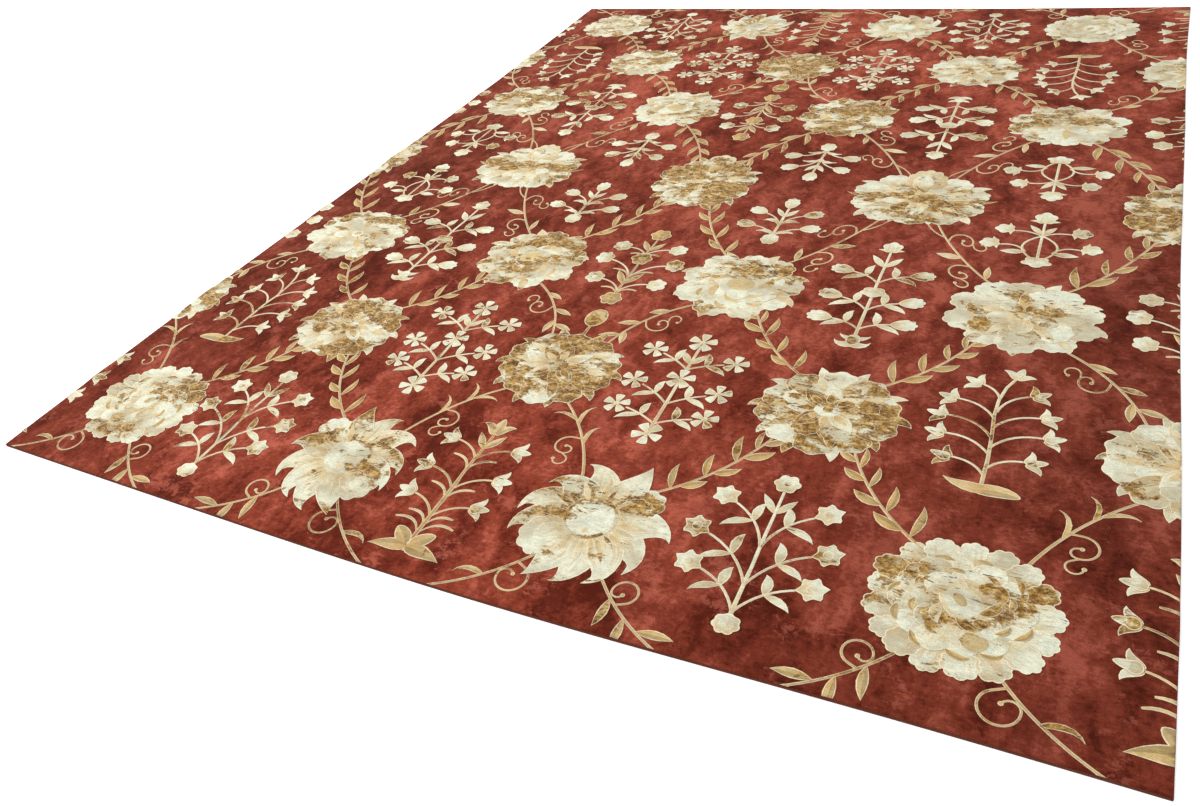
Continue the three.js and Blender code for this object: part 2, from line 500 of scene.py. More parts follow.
def silk_group():
    """The colour of the silk. The dials are how much bronze, a painted sheen, there is and how large its patches are.
    """
    group, dials, results = new_group(
        "silk pile",
        {"Vector": "vector", "Amount": "float", "Gather": "float"},
        {"Colour": "colour", "Height": "float"},
    )
    place = dials["Vector"]
    names = ("warm", "lean", "side", "along", "edge", "crease", "brushed")
    warm, lean, side, along, edge, crease, brushed = (add_mark(group, name) for name in names)
    colour = add_colour_mix(group, add_range(group, warm, 0.0, 0.5), SILK_CREAM, SILK_PEACH)
    colour = add_colour_mix(group, add_range(group, warm, 0.5, 1.0), colour, SILK_GOLD)
    colour = add_colour_mix(group, add_range(group, warm, 0.0, -0.5), colour, SILK_OLIVE)
    cloudy = add_noise(group, place, 40.0, detail=4.0, roughness=0.6)
    colour = add_shade(group, colour, add_range(group, cloudy, 0.35, 0.65, 0.90, 1.08))
    # Painted shade: each petal darker towards its root.
    root_shaded = add_colour_mix(group, 1.0, colour, SILK_ROOT_SHADE, blend="MULTIPLY")
    colour = add_colour_mix(group, add_range(group, along, 0.62, 0.02, 0.0, 0.75), colour, root_shaded)
    shaded = add_math(group, "MULTIPLY", add_range(group, side, -0.08, 0.10), add_range(group, warm, 0.42, 0.60))
    colour = add_shade(group, colour, add_range(group, shaded, 0.0, 1.0, 1.0, 0.66))
    inputs = {0: add_math(group, "MULTIPLY", side, 6.0), 1: add_math(group, "MULTIPLY", along, 1.1)}
    inputs[2] = add_math(group, "MULTIPLY", lean, 31.0)
    petal = add_node(group, "ShaderNodeCombineXYZ", inputs).outputs[0]
    ribs = add_range(group, add_noise(group, petal, 1.0, detail=1.0), 0.54, 0.60)
    ribs = add_math(group, "MULTIPLY", ribs, add_range(group, along, 0.88, 0.45))
    colour = add_colour_mix(group, add_math(group, "MULTIPLY", ribs, 0.55), colour, SILK_RIB)
    # Bronze patches are a painted sheen: where its pile lies the other way the silk is painted bronze, gold and dark
    # specks, more along the creases, towards the left and on some heads, with a painted shadow line at the patch edges
    # and dark flecks of painted shade on the creases.
    share = add_sum(group, (add_noise(group, place, 2.3, detail=1.0), 0.30), (-0.5, 0.30))
    fold = add_range(group, crease, 0.35, 0.95)
    across = add_node(group, "ShaderNodeSeparateXYZ", {0: place}).outputs[0]
    slant = add_range(group, across, -1.0, 1.0, 0.020, -0.020)
    tilt = add_sum(group, (lean, 0.13), (fold, 0.115), (dials["Amount"], 1.0), (share, 0.8), (slant, 1.0), (brushed, 1.0))
    swept = add_node(group, "ShaderNodeMapping", {"Vector": place, "Scale": (0.82, 1.18, 1)}).outputs[0]
    inputs = {"Vector": swept, "Gather": dials["Gather"], "Grain": 30.0, "Amount": tilt}
    patches = apply_group(group, BRUSHED, inputs)
    specks = add_noise(group, place, 150.0, (0.9, 1.1, 1), 4.0, 0.7, 0.3)
    glow = add_noise(group, swept, 55.0, (1, 1, 1), 6.0, 0.75, 0.3)
    shadow = add_sum(group, (add_noise(group, swept, 9.0, detail=5.0), 1.0), (lean, 0.20))
    shadow = add_math(group, "MULTIPLY", add_range(group, shadow, 0.54, 0.72), 0.52)
    colour = add_colour_mix(group, shadow, colour, SILK_SHADE)
    bronze = add_colour_mix(group, add_range(group, glow, 0.37, 0.49), SILK_SPECK, SILK_BRONZE_SHEEN)
    bronze = add_colour_mix(group, add_range(group, glow, 0.485, 0.585), bronze, SILK_GOLD)
    bronze = add_colour_mix(group, add_range(group, glow, 0.60, 0.655), bronze, SILK_CREAM)
    bronze = add_colour_mix(group, add_range(group, specks, 0.59, 0.66), bronze, SILK_SPECK)
    colour = add_colour_mix(group, add_math(group, "MULTIPLY", patches["Soft"], 0.30), colour, SILK_GOLD)
    cover = add_math(group, "MULTIPLY", patches["Mask"], add_range(group, specks, 0.36, 0.48, 0.45, 1.0))
    colour = add_colour_mix(group, cover, colour, bronze)
    edge_shadow_lines = add_math(group, "MULTIPLY", patches["Line"], add_range(group, specks, 0.46, 0.56))
    colour = add_colour_mix(group, add_math(group, "MULTIPLY", edge_shadow_lines, 0.55), colour, SILK_SPECK)
    crease_flecks = add_range(group, add_noise(group, place, 75.0, (0.35, 1.6, 1), 3.0, 0.6, 0.4), 0.60, 0.67)
    crease_flecks = add_math(group, "MULTIPLY", crease_flecks, add_range(group, crease, 0.05, 0.6, 0.12, 0.95))
    colour = add_colour_mix(group, crease_flecks, colour, SILK_SPECK)
    # A painted highlight along each island's rim, partly the pale outline of the silk, and painted shadow lines round
    # its foot: the under shadow over silk, the darker skirt shadow on the wool.
    rim = add_math(group, "MULTIPLY", add_range(group, edge, 0.25, 0.8), add_range(group, edge, 1.5, 1.2))
    colour = add_colour_mix(group, add_math(group, "MULTIPLY", rim, 0.72), colour, SILK_RIM_HIGHLIGHT)
    colour = add_colour_mix(group, add_range(group, edge, 1.2, 1.45), colour, SILK_UNDER_SHADOW)
    colour = add_colour_mix(group, add_range(group, edge, 1.6, 1.9), colour, SILK_SKIRT_SHADOW)
    # Painted shade on the lower tufts of the silk.
    tufts = apply_group(group, TUFTS, {"Vector": place, "Tuft": 480.0})
    group.links.new(add_shade(group, colour, tufts["Shade"]), results["Colour"])
    group.links.new(tufts["Height"], results["Height"])
    return group


SILK = silk_group()


def silk_material(name, amount, gather):
    material, tree, shader, place = start_material(name)
    silk = apply_group(tree, SILK, {"Vector": place, "Amount": amount, "Gather": gather})
    tree.links.new(silk["Colour"], shader.inputs["Base Color"])
    add_bump(tree, shader, silk["Height"], 0.4, 0.0008)
    shader.inputs["Roughness"].default_value = 0.7
    shader.inputs["Specular IOR Level"].default_value = 0.18
    shader.inputs["Sheen Weight"].default_value = 0.12
    shader.inputs["Sheen Roughness"].default_value = 0.35
    return material


SILK_FLOWER = silk_material("silk of the flower heads", 0.382, 10.0)
SILK_SPRIG = silk_material("silk of the sprigs", 0.345, 9.0)
SILK_VINE = silk_material("silk of the vines", 0.365, 9.0)

# %% [markdown]
# The rug itself is one slab. A grid gives the top, an extrusion gives the edge and the back,
# and a small bevel rounds the cut edge of the pile.

# %% The rug
CELL = 0.021
EDGE_ROUND = 0.0028
PILE_SLOT, BACK_SLOT = range(2)


def link_piece(name, mesh, material):
    piece = bpy.data.objects.new(name, mesh)
    bpy.context.scene.collection.objects.link(piece)
    mesh.materials.append(material)
    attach(piece, "root")
    return piece


def make_rug():
    bm = bmesh.new()
    columns, rows = round(WIDTH / CELL), round(LENGTH / CELL)
    bmesh.ops.create_grid(bm, x_segments=columns, y_segments=rows, size=0.5)
    bmesh.ops.scale(bm, vec=(WIDTH, LENGTH, 1), verts=bm.verts)
    bmesh.ops.translate(bm, vec=(0, 0, THICKNESS), verts=bm.verts)
    grown = bmesh.ops.extrude_face_region(bm, geom=bm.faces[:], use_keep_orig=True)
    lower = [item for item in grown["geom"] if isinstance(item, bmesh.types.BMVert)]
    bmesh.ops.translate(bm, vec=(0, 0, -THICKNESS), verts=lower)
    bmesh.ops.recalc_face_normals(bm, faces=bm.faces)
    rim = [
        edge
        for edge in bm.edges
        if all(vert.co.z > THICKNESS / 2 for vert in edge.verts)
        and any(abs(face.normal.z) < 0.5 for face in edge.link_faces)
    ]
    bmesh.ops.bevel(
        bm, geom=rim, offset=EDGE_ROUND, segments=3, profile=0.5, affect="EDGES", material=-1
    )
    mesh = bpy.data.meshes.new("rug_pile")
    bm.to_mesh(mesh)
    bm.free()
    lay_down(mesh)
    mesh.shade_smooth()
    piece = link_piece("rug_pile", mesh, WOOL)
    mesh.materials.append(BACK)
    for face in mesh.polygons:
        face.material_index = PILE_SLOT if face.normal.z > 0.3 else BACK_SLOT
    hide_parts("rug")
    print("rug has", len(mesh.polygons), "faces")
    return piece


rug = make_rug()

# %% [markdown]
# The flowers, leaves and stems are knotted in silk and clipped a little proud of the wool, so
# each one is an island of pile. Two blanks are enough for all of them, a disc for petals and
# leaves and a ribbon for stems. Operators make a blank once, in layers from its foot in the wool
# up to its crown. After that every island is a copy whose points are moved, so its rings of
# faces stay clean and their number stays small.

# %% Two blanks, a disc and a ribbon
FOOT, SKIRT, RIM, SHOULDER, CROWN, MIDDLE = range(6)
RINGS = (FOOT, SKIRT, RIM, SHOULDER, CROWN)
Blank = namedtuple("Blank", "mesh spots")


def keep_blank(bm, name, spot):
    bmesh.ops.recalc_face_normals(bm, faces=bm.faces)
    mesh = bpy.data.meshes.new(name)
    spots = [spot(vert) for vert in bm.verts]
    bm.to_mesh(mesh)
    bm.free()
    return Blank(mesh, spots)


def disc_blank(rays):
    """A closed disc of rings. Each point's spot is its ray and its layer."""
    bm = bmesh.new()
    bmesh.ops.create_circle(bm, cap_ends=True, segments=rays, radius=1)
    grown = bmesh.ops.extrude_face_region(bm, geom=bm.faces[:], use_keep_orig=True)["geom"]
    top = [item for item in grown if isinstance(item, bmesh.types.BMFace)]
    for layer in RINGS[1:]:
        if layer > SKIRT:
            bmesh.ops.inset_region(bm, faces=top, thickness=0.15)
        for vert in top[0].verts:
            vert.co.z = layer
    bmesh.ops.poke(bm, faces=top)["verts"][0].co.z = MIDDLE

    def spot(vert):
        share = math.atan2(vert.co.x, -vert.co.y) / (2 * math.pi)
        return round(share * rays * 2) % (rays * 2), round(vert.co.z)

    return keep_blank(bm, f"disc_{rays}", spot)


def ribbon_blank(steps):
    """A closed strip, four faces wide. Each point's spot is how far across and along it is."""
    bm = bmesh.new()
    bmesh.ops.create_grid(bm, x_segments=4, y_segments=steps, size=1)
    border = [edge for edge in bm.edges if edge.is_boundary]
    for vert in bm.verts:
        inner = CROWN if abs(vert.co.x) < 0.1 else RIM
        vert.co.z = FOOT if vert.is_boundary else inner
    bmesh.ops.edgeloop_fill(bm, edges=border)
    return keep_blank(bm, f"ribbon_{steps}", lambda vert: (vert.co.x, vert.co.y, round(vert.co.z)))


blanks = {}


def blank_for(make, count):
    if (make, count) not in blanks:
        blanks[make, count] = make(count)
    return blanks[make, count]


print("a disc of 20 rays has", len(blank_for(disc_blank, 20).spots), "points")


# %% Shapes that a disc can take
def leaf_shape(length, width, root=0.8, tip=1.0, bend=0.0, hook=2):
    """A leaf or petal that grows along +Y from its root. The root and tip powers run from
    blunt, under a half, to drawn out, over one. The bend is the turn of its midrib, and a
    higher hook keeps that turn for the tip."""
    fullest = root / (root + tip)
    peak = fullest**root * (1 - fullest) ** tip

    def place(across, up):
        along = min(max((1 + up) / 2, 0.0), 1.0)
        chord = math.sqrt(max(1 - up * up, 1e-9))
        side = max(-1.0, min(1.0, across / chord)) if chord > 1e-3 else 0.0
        half = side * width / 2 * (along**root * (1 - along) ** tip) / peak
        turn = bend * along**hook
        x = length * turn * along / (hook + 1) + half * math.cos(turn)
        y = length * along * (1 - turn**2 / (4 * hook + 2)) - half * math.sin(turn)
        return x, y, side, along

    return place


def lobed_shape(length, width, lobes=0, depth=0.0, pointed=False):
    """An oval that grows along +Y from its root, with scallops or points round its edge."""

    def place(across, up):
        wave = abs(math.sin(lobes * math.atan2(across, -up) / 2)) if lobes else 1.0
        swell_out = 1 - depth * (wave if pointed else 1 - wave)
        return across * width / 2 * swell_out, length / 2 * (1 + up * swell_out), across, (1 + up) / 2

    return place


def bud_shape(length, width):
    """A bud with a drawn-out foot and a frilled end, which grows along +Y from its root."""
    body = leaf_shape(length, width, 0.72, 0.46)

    def place(across, up):
        wave = abs(math.cos(4.5 * math.atan2(across, up)))
        frill = 1 - 0.17 * (1 - wave) * min(1, max(0, up + 0.45))
        return body(across * frill, up * frill)

    return place


# %% Lines that a ribbon can follow
def around(at, heading, reach):
    """The point at some reach from another. Headings are in degrees from +Y towards -X."""
    turn = math.radians(heading)
    return at[0] - math.sin(turn) * reach, at[1] + math.cos(turn) * reach


def bow(start, end, sag, steps=8):
    """Points of a bowed line; the sag is to the left of the way from start to end."""
    run_x, run_y = end[0] - start[0], end[1] - start[1]
    points = []
    for step in range(steps + 1):
        share = step / steps
        hump = 4 * share * (1 - share) * sag
        points.append((start[0] + run_x * share - run_y * hump, start[1] + run_y * share + run_x * hump))
    return points


CURL_STEP = 0.0075


def roam(start, heading, legs, step=CURL_STEP):
    """Points of a path that sets off at a heading and turns evenly over each leg."""
    points = [start]
    for length, bend in legs:
        steps = max(2, round(length / step))
        for _ in range(steps):
            heading += bend / steps / 2
            points.append(around(points[-1], heading, length / steps))
            heading += bend / steps / 2
    return points


def trace(points, step=0.02):
    """The same line with points added, so that no two are further apart than a step."""
    line = [points[0]]
    for (x0, y0), (x1, y1) in zip(points, points[1:]):
        parts = math.ceil(math.dist((x0, y0), (x1, y1)) / step)
        line += [(x0 + (x1 - x0) * part / parts, y0 + (y1 - y0) * part / parts) for part in range(1, parts + 1)]
    return line


def beyond(before, end, reach):
    """The point at some reach past the end of a line, straight on."""
    share = 1 + reach / max(math.dist(before, end), 1e-6)
    return tuple(a + (b - a) * share for a, b in zip(before, end))


def heading_of(points, index=-1):
    """The heading in which a line passes one of its points."""
    (x0, y0), (x1, y1) = points[index - 1], points[index]
    return math.degrees(math.atan2(x0 - x1, y1 - y0))


# %% [markdown]
# A motif is drawn in its own small frame, in metres, with +Y up the plant. It collects islands,
# which are stamped down one after another. Each next one lies a hair higher, so that petals
# overlap in layers, as they are clipped in the rug, and never share a height. Every point also
# gets marks for the finishes: how warm its silk is, how its pile leans, and where it lies on its
# own petal.

# %% A motif
FOOT_DEPTH = 0.0008
# The skirt is a ring just below the rim, flared out past the island's edge and coloured as a painted shadow line.
SKIRT_DROP = 0.0002
SKIRT_WIDTH = 0.0011
WIDE_SKIRT = 0.0018
RIM_WIDTH = 0.0038
CROWN_RISE = 0.0003
HAIR = 0.00004
STEM_LEVEL = 0.0004
END_SLOPE = 0.0016
FLAT_STEP = 0.014
FLAT_WIDEN = 1.2
MARKS = ("warm", "lean", "side", "along", "edge", "patch", "flat_x", "flat_y", "brushed")
# The edge marks choose the painted highlight at the rim and the painted shadow lines at the skirt and foot; over silk
# they give the lighter under shadow.
EDGE_MARK = {FOOT: 2.0, SKIRT: 2.0, RIM: 1.0, SHOULDER: 0.0, CROWN: 0.0, MIDDLE: 0.0}
OVER_SILK_MARK = EDGE_MARK | {FOOT: 1.37, SKIRT: 1.37, RIM: 0.40}
LOWEST_LEVELS = 0.0011


class Motif:
    def __init__(self, seed, squash=(1.0, 1.0)):
        self.bm = bmesh.new()
        self.layers = [self.bm.verts.layers.float.new(mark) for mark in MARKS]
        self.chance = random.Random(seed)
        self.squash = squash
        self.count = 0

    def near(self, value, spread):
        return value * (1 + self.chance.uniform(-spread, spread))

    def press(self, blank, points, warm):
        """Adds a copy of a blank and moves its points to their places."""
        start = len(self.bm.verts)
        self.bm.from_mesh(blank.mesh)
        self.bm.verts.ensure_lookup_table()
        layers = [self.bm.verts.layers.float[mark] for mark in MARKS]
        lean = self.chance.random()
        for index, (x, y, height, side, along, edge, flat) in enumerate(points, start):
            vert = self.bm.verts[index]
            vert.co = (x * self.squash[0], y * self.squash[1], THICKNESS + height)
            for layer, value in zip(layers, (warm, lean, side, along, edge, self.count, *flat)):
                vert[layer] = value
        self.count += 1

    def island(self, shape, at, heading, level, warm=0.0, rays=20, outline=1.0):
        """Stamps one disc, in the outline that its shape function gives. The outline scales the edge marks, which set
        the painted highlight at the rim and the painted shadow lines at the foot; a faint outline is light.
        """
        top = level + (self.count % 12) * HAIR
        heights = (-FOOT_DEPTH, top - SKIRT_DROP, top, top + 0.7 * CROWN_RISE, top + CROWN_RISE, top + CROWN_RISE)
        turn = math.radians(heading)
        cos_turn, sin_turn = math.cos(turn), math.sin(turn)
        blank = blank_for(disc_blank, rays)
        drawn = {}
        skirt = SKIRT_WIDTH if level < LOWEST_LEVELS else WIDE_SKIRT
        for ray, layer in blank.spots:
            if layer == MIDDLE:
                drawn[ray, layer] = shape(0, 0)
                continue
            if (ray, RIM) not in drawn:
                angle = math.pi * ray / rays
                rim = shape(math.sin(angle), -math.cos(angle))
                crown_spot = shape(0.5 * math.sin(angle), -0.5 * math.cos(angle))
                gap = max(math.dist(rim[:2], crown_spot[:2]), 1e-5)
                for ring, share in ((FOOT, -skirt / gap), (SKIRT, -skirt / gap), (RIM, 0.0),
                                    (SHOULDER, min(0.7, RIM_WIDTH / gap)), (CROWN, 1.0)):
                    drawn[ray, ring] = [a + (b - a) * max(share, -0.8) for a, b in zip(rim, crown_spot)]
        points = []
        for ray, layer in blank.spots:
            x, y, side, along = drawn[ray, layer]
            place = (at[0] + x * cos_turn - y * sin_turn, at[1] + x * sin_turn + y * cos_turn)
            spread = 1.0 if layer else 1.04
            edge = EDGE_MARK[layer] if level < LOWEST_LEVELS else OVER_SILK_MARK[layer]
            points.append((*place, heights[layer], side, along, edge * outline, (x * spread, y * spread)))
        self.press(blank, points, warm)

    def leaf(self, at, heading, length, width, warm=0.55, bend=0.0, root=1.0, tip=1.15, level=0.0005):
        shape = leaf_shape(self.near(length, 0.07), self.near(width, 0.07), root, tip, bend)
        self.island(shape, at, heading, level, warm, rays=16)

    def stem(self, line, root=0.0075, tip=0.006, warm=0.6, belly=0.0):
        """Lays a ribbon along a line; the belly is extra width in its outer half."""
        drawn = trace(line)
        first, last = beyond(drawn[1], drawn[0], END_SLOPE), beyond(drawn[-2], drawn[-1], END_SLOPE)
        drawn = [first, *drawn, last]
        steps = len(drawn) - 1
        blank = blank_for(ribbon_blank, steps)
        points = []
        for across, up, layer in blank.spots:
            spot = round((up + 1) / 2 * steps)
            (x0, y0), (x1, y1) = drawn[max(spot - 1, 0)], drawn[min(spot + 1, steps)]
            run = max(math.hypot(x1 - x0, y1 - y0), 1e-6)
            share = spot / steps
            half = (root + (tip - root) * share + belly * math.sin(math.pi * share**1.7)) / 2
            reach = {0.0: 0.0, 0.5: 0.72, 1.0: 1.15}[round(abs(across), 1)] * math.copysign(half, across)
            x = drawn[spot][0] + (y1 - y0) / run * reach
            y = drawn[spot][1] - (x1 - x0) / run * reach
            height = {FOOT: -FOOT_DEPTH, RIM: STEM_LEVEL, CROWN: STEM_LEVEL + 0.8 * half * 0.2}[layer]
            flat = (spot * FLAT_STEP, reach * FLAT_WIDEN)
            # The edge marks give each stem a painted highlight along its sides and a faint painted shadow at its foot.
            points.append((x, y, height, across, share, {FOOT: 1.25, RIM: 0.6, CROWN: 0.1}[layer], flat))
        self.press(blank, points, warm)
        return line

    def curl(self, start, heading, hand, size=1.0, warm=0.5):
        """A tendril: a wide arc that hooks in at its end, with a smaller one the other way."""
        legs = ((0.028 * size, 8 * hand), (0.116 * size, 192 * hand), (0.050 * size, 190 * hand))
        arc = roam(start, heading, legs)
        self.stem(arc, 0.0062, 0.0048, warm)
        self.ball(arc[-1], warm)
        fork = round(0.135 * size / CURL_STEP)
        legs = ((0.020 * size, 0), (0.076 * size, -235 * hand))
        other = roam(arc[fork], heading_of(arc, fork) - 25 * hand, legs)
        self.stem(other, 0.0050, 0.0046, warm)
        self.ball(other[-1], warm)

    def coil(self, start, heading, hand, size=1.0, warm=0.5):
        """A single tendril, a round coil."""
        legs = ((0.026 * size, 0), (0.150 * size, 250 * hand), (0.044 * size, 150 * hand))
        arc = roam(start, heading, legs)
        self.stem(arc, 0.0064, 0.0050, warm)
        self.ball(arc[-1], warm)

    def ball(self, at, warm):
        self.island(lobed_shape(0.0085, 0.0085), (at[0], at[1] - 0.0043), 0, 0.0005, warm, rays=12)

    def to_mesh(self):
        mesh = bpy.data.meshes.new("motif")
        self.bm.to_mesh(mesh)
        self.bm.free()
        return mesh


# %% [markdown]
# A flower head is rings of petals, the outermost first and lowest, and a heart of ovals on top.
# A row of a table gives one ring, so a new kind of flower is a short new table. Each petal varies
# a little in size, heading and colour, so no two heads on the rug are quite alike.

# %% Tables of the flower heads
Ring = namedtuple("Ring", "style count root reach width turn level warm sweep skip", defaults=(0, ()))
Heart = namedtuple("Heart", "across up wide tall tilt lobes level warm")
Head = namedtuple("Head", "squash rings hearts")
STEP_UP = 0.00035

HEADS = {
    "peony": Head(
        (1.0, 0.94),
        (
            Ring("frilled", 17, 0.104, 0.074, 0.068, 0, 0.0005, 0.0),
            Ring("comma", 11, 0.112, 0.044, 0.013, 10, 0.0013, 0.75, 62),
            Ring("round", 12, 0.066, 0.060, 0.060, 9, 0.0012, 0.0),
            Ring("comma", 8, 0.080, 0.036, 0.011, 4, 0.0020, 0.70, 66),
            Ring("round", 8, 0.030, 0.060, 0.058, 0, 0.0019, 0.04),
            Ring("swirl", 5, 0.034, 0.052, 0.020, 30, 0.0026, 0.25, 58),
        ),
        (
            Heart(0.034, -0.080, 0.046, 0.044, 20, 0, 0.0024, 0.48),
            Heart(0.0, 0.004, 0.068, 0.096, 38, 0, 0.0029, 0.30),
            Heart(0.002, 0.004, 0.054, 0.080, 38, 0, 0.0032, 0.0),
            Heart(-0.004, 0.010, 0.020, 0.034, 38, 0, 0.0035, 0.52),
            Heart(0.038, -0.036, 0.024, 0.020, 0, 0, 0.0033, 0.35),
            Heart(0.038, -0.036, 0.011, 0.009, 0, 0, 0.0036, 0.0),
        ),
    ),
    "sunflower": Head(
        (0.97, 0.98),
        (
            Ring("flame", 12, 0.040, 0.158, 0.090, 10, 0.0005, 0.0, 0, (4, 10)),
            Ring("rib", 12, 0.060, 0.070, 0.014, 5, 0.0013, 0.24),
            Ring("rib", 12, 0.058, 0.048, 0.010, -8, 0.0013, 0.18),
            Ring("frilled", 1, 0.046, 0.118, 0.118, 128, 0.0012, 0.0),
            Ring("frilled", 1, 0.060, 0.070, 0.070, 128, 0.0016, 0.06),
            Ring("frilled", 1, 0.048, 0.118, 0.106, -50, 0.0012, 0.04),
            Ring("frilled", 1, 0.060, 0.070, 0.056, -50, 0.0016, 0.14),
        ),
        (
            Heart(-0.008, 0.006, 0.122, 0.122, 0, 0, 0.0018, 0.0),
            Heart(-0.008, 0.007, 0.108, 0.108, 0, 0, 0.0020, 0.0),
            Heart(-0.024, -0.006, 0.060, 0.058, 0, 9, 0.0022, 0.0),
            Heart(-0.004, -0.032, 0.011, 0.011, 0, 0, 0.0025, 0.40),
        ),
    ),
    "rosette": Head(
        (1.05, 0.95),
        (
            Ring("hook", 10, 0.112, 0.070, 0.032, 18, 0.0005, 0.05),
            Ring("trefoil", 10, 0.072, 0.092, 0.096, 0, 0.0009, 0.0),
            Ring("spear", 10, 0.070, 0.072, 0.026, 18, 0.0017, 0.26),
            Ring("frilled", 8, 0.040, 0.074, 0.066, 22, 0.0017, 0.0),
            Ring("spear", 8, 0.018, 0.076, 0.040, 0, 0.0024, 0.10),
            Ring("spear", 8, 0.026, 0.044, 0.018, 0, 0.0031, 0.40),
        ),
        (
            Heart(0.0, 0.0, 0.058, 0.050, 0, 7, 0.0032, 0.0),
            Heart(0.0, 0.0, 0.022, 0.022, 0, 0, 0.0035, 0.50),
        ),
    ),
    "folded peony": Head(
        (1.06, 1.0),
        (
            Ring("hook", 8, 0.112, 0.074, 0.036, 26, 0.0005, 0.30),
            Ring("frilled", 9, 0.070, 0.102, 0.104, 0, 0.0009, 0.0),
            Ring("comma", 8, 0.098, 0.046, 0.014, 24, 0.0018, 0.50, 50),
            Ring("frilled", 8, 0.040, 0.084, 0.082, 20, 0.0017, 0.05),
            Ring("swirl", 7, 0.052, 0.066, 0.026, 0, 0.0024, 0.40, 56),
            Ring("round", 6, 0.018, 0.062, 0.056, 10, 0.0024, 0.0),
        ),
        (
            Heart(0.0, 0.0, 0.108, 0.094, 0, 0, 0.0031, 0.0),
            Heart(0.004, 0.0, 0.076, 0.062, 0, 0, 0.0034, 0.45),
            Heart(-0.002, 0.0, 0.058, 0.048, 0, 0, 0.0037, 0.0),
        ),
    ),
    "orchid peony": Head(
        (1.10, 0.96),
        (
            Ring("hook", 9, 0.118, 0.064, 0.034, 20, 0.0005, 0.05),
            Ring("frilled", 10, 0.070, 0.102, 0.100, 0, 0.0009, 0.0),
            Ring("frilled", 7, 0.034, 0.100, 0.094, 25, 0.0017, 0.0),
            Ring("spear", 5, 0.040, 0.078, 0.024, 0, 0.0025, 0.26),
            Ring("round", 5, 0.016, 0.060, 0.048, 36, 0.0025, 0.04),
        ),
        (
            Heart(0.0, 0.0, 0.044, 0.040, 20, 5, 0.0032, 0.0),
            Heart(-0.002, 0.002, 0.020, 0.026, 30, 0, 0.0035, 0.50),
        ),
    ),
}


# %% Flower heads
def petal_shape(style, reach, width, heading):
    """The outline of one petal. Flames and hooks bend towards the foot of the flower."""
    sway = math.sin(math.radians(heading))
    if style == "flame":
        bend = -1.0 * math.cos(math.radians(heading)) - 1.50 * sway
        return leaf_shape(reach, width, 0.55, 1.25, bend, 3)
    if style == "hook":
        return leaf_shape(reach, width, 0.45, 0.9, -1.0 * sway)
    if style in ("comma", "swirl"):
        return leaf_shape(reach, width, 0.9, 0.9, -1.1)
    if style in ("spear", "rib"):
        return leaf_shape(reach, width, 0.6, 1.0, -0.2 * sway)
    if style == "trefoil":
        return lobed_shape(reach, width, 7, 0.15)
    if style == "frilled":
        return lobed_shape(reach, width, 9, 0.12)
    return lobed_shape(reach, width)


RAYS = {"trefoil": 36, "frilled": 36, "round": 20, "flame": 32}


def add_ring(motif, ring):
    for number in set(range(ring.count)) - set(ring.skip):
        heading = ring.turn + 360 * number / ring.count + motif.chance.uniform(-3, 3)
        at = around((0, 0), heading, motif.near(ring.root, 0.03))
        reach, width = motif.near(ring.reach, 0.06), motif.near(ring.width, 0.06)
        warm = ring.warm + motif.chance.choice((0.0, 0.0, 0.06, 0.16)) * (ring.warm < 0.3)
        shape = petal_shape(ring.style, reach, width, heading)
        level = ring.level + STEP_UP * (number % 2)
        motif.island(shape, at, heading + ring.sweep, level, warm, RAYS.get(ring.style, 16))


def add_heart(motif, heart):
    """Stamps one oval of the middle. It has no ribs, which the finish reads from the last number."""
    oval = lobed_shape(heart.tall, heart.wide, heart.lobes, 0.12)

    def shape(across, up):
        return *oval(across, up)[:3], 1.0

    at = around((heart.across, heart.up), heart.tilt, -heart.tall / 2)
    motif.island(shape, at, heart.tilt, heart.level, heart.warm, 28, 0.62)


def flower_head(kind, seed):
    head = HEADS[kind]
    motif = Motif(seed, head.squash)
    for ring in head.rings:
        add_ring(motif, ring)
    for heart in head.hearts:
        add_heart(motif, heart)
    return motif.to_mesh()


def budded_rosette(seed):
    """A rosette with an oval bud on a short stalk above it."""
    motif = Motif(seed, HEADS["rosette"].squash)
    motif.island(lobed_shape(0.088, 0.060), (0, 0.202), 0, 0.0006, 0.50, 28)
    motif.stem([(0, 0.150), (0, 0.180), (0, 0.210)], 0.012, 0.008, 0.6)
    for ring in HEADS["rosette"].rings:
        add_ring(motif, ring)
    for heart in HEADS["rosette"].hearts:
        add_heart(motif, heart)
    return motif.to_mesh()


# %% The large heads of the middle row
SIDE_PETALS = ((34, 0.122, 0.104), (70, 0.122, 0.106), (106, 0.116, 0.100), (143, 0.104, 0.092))
SIDE_SEPALS = ((53, 0.118, 0.092, 0.034), (126, 0.112, 0.088, 0.036), (160, 0.110, 0.050, 0.024))


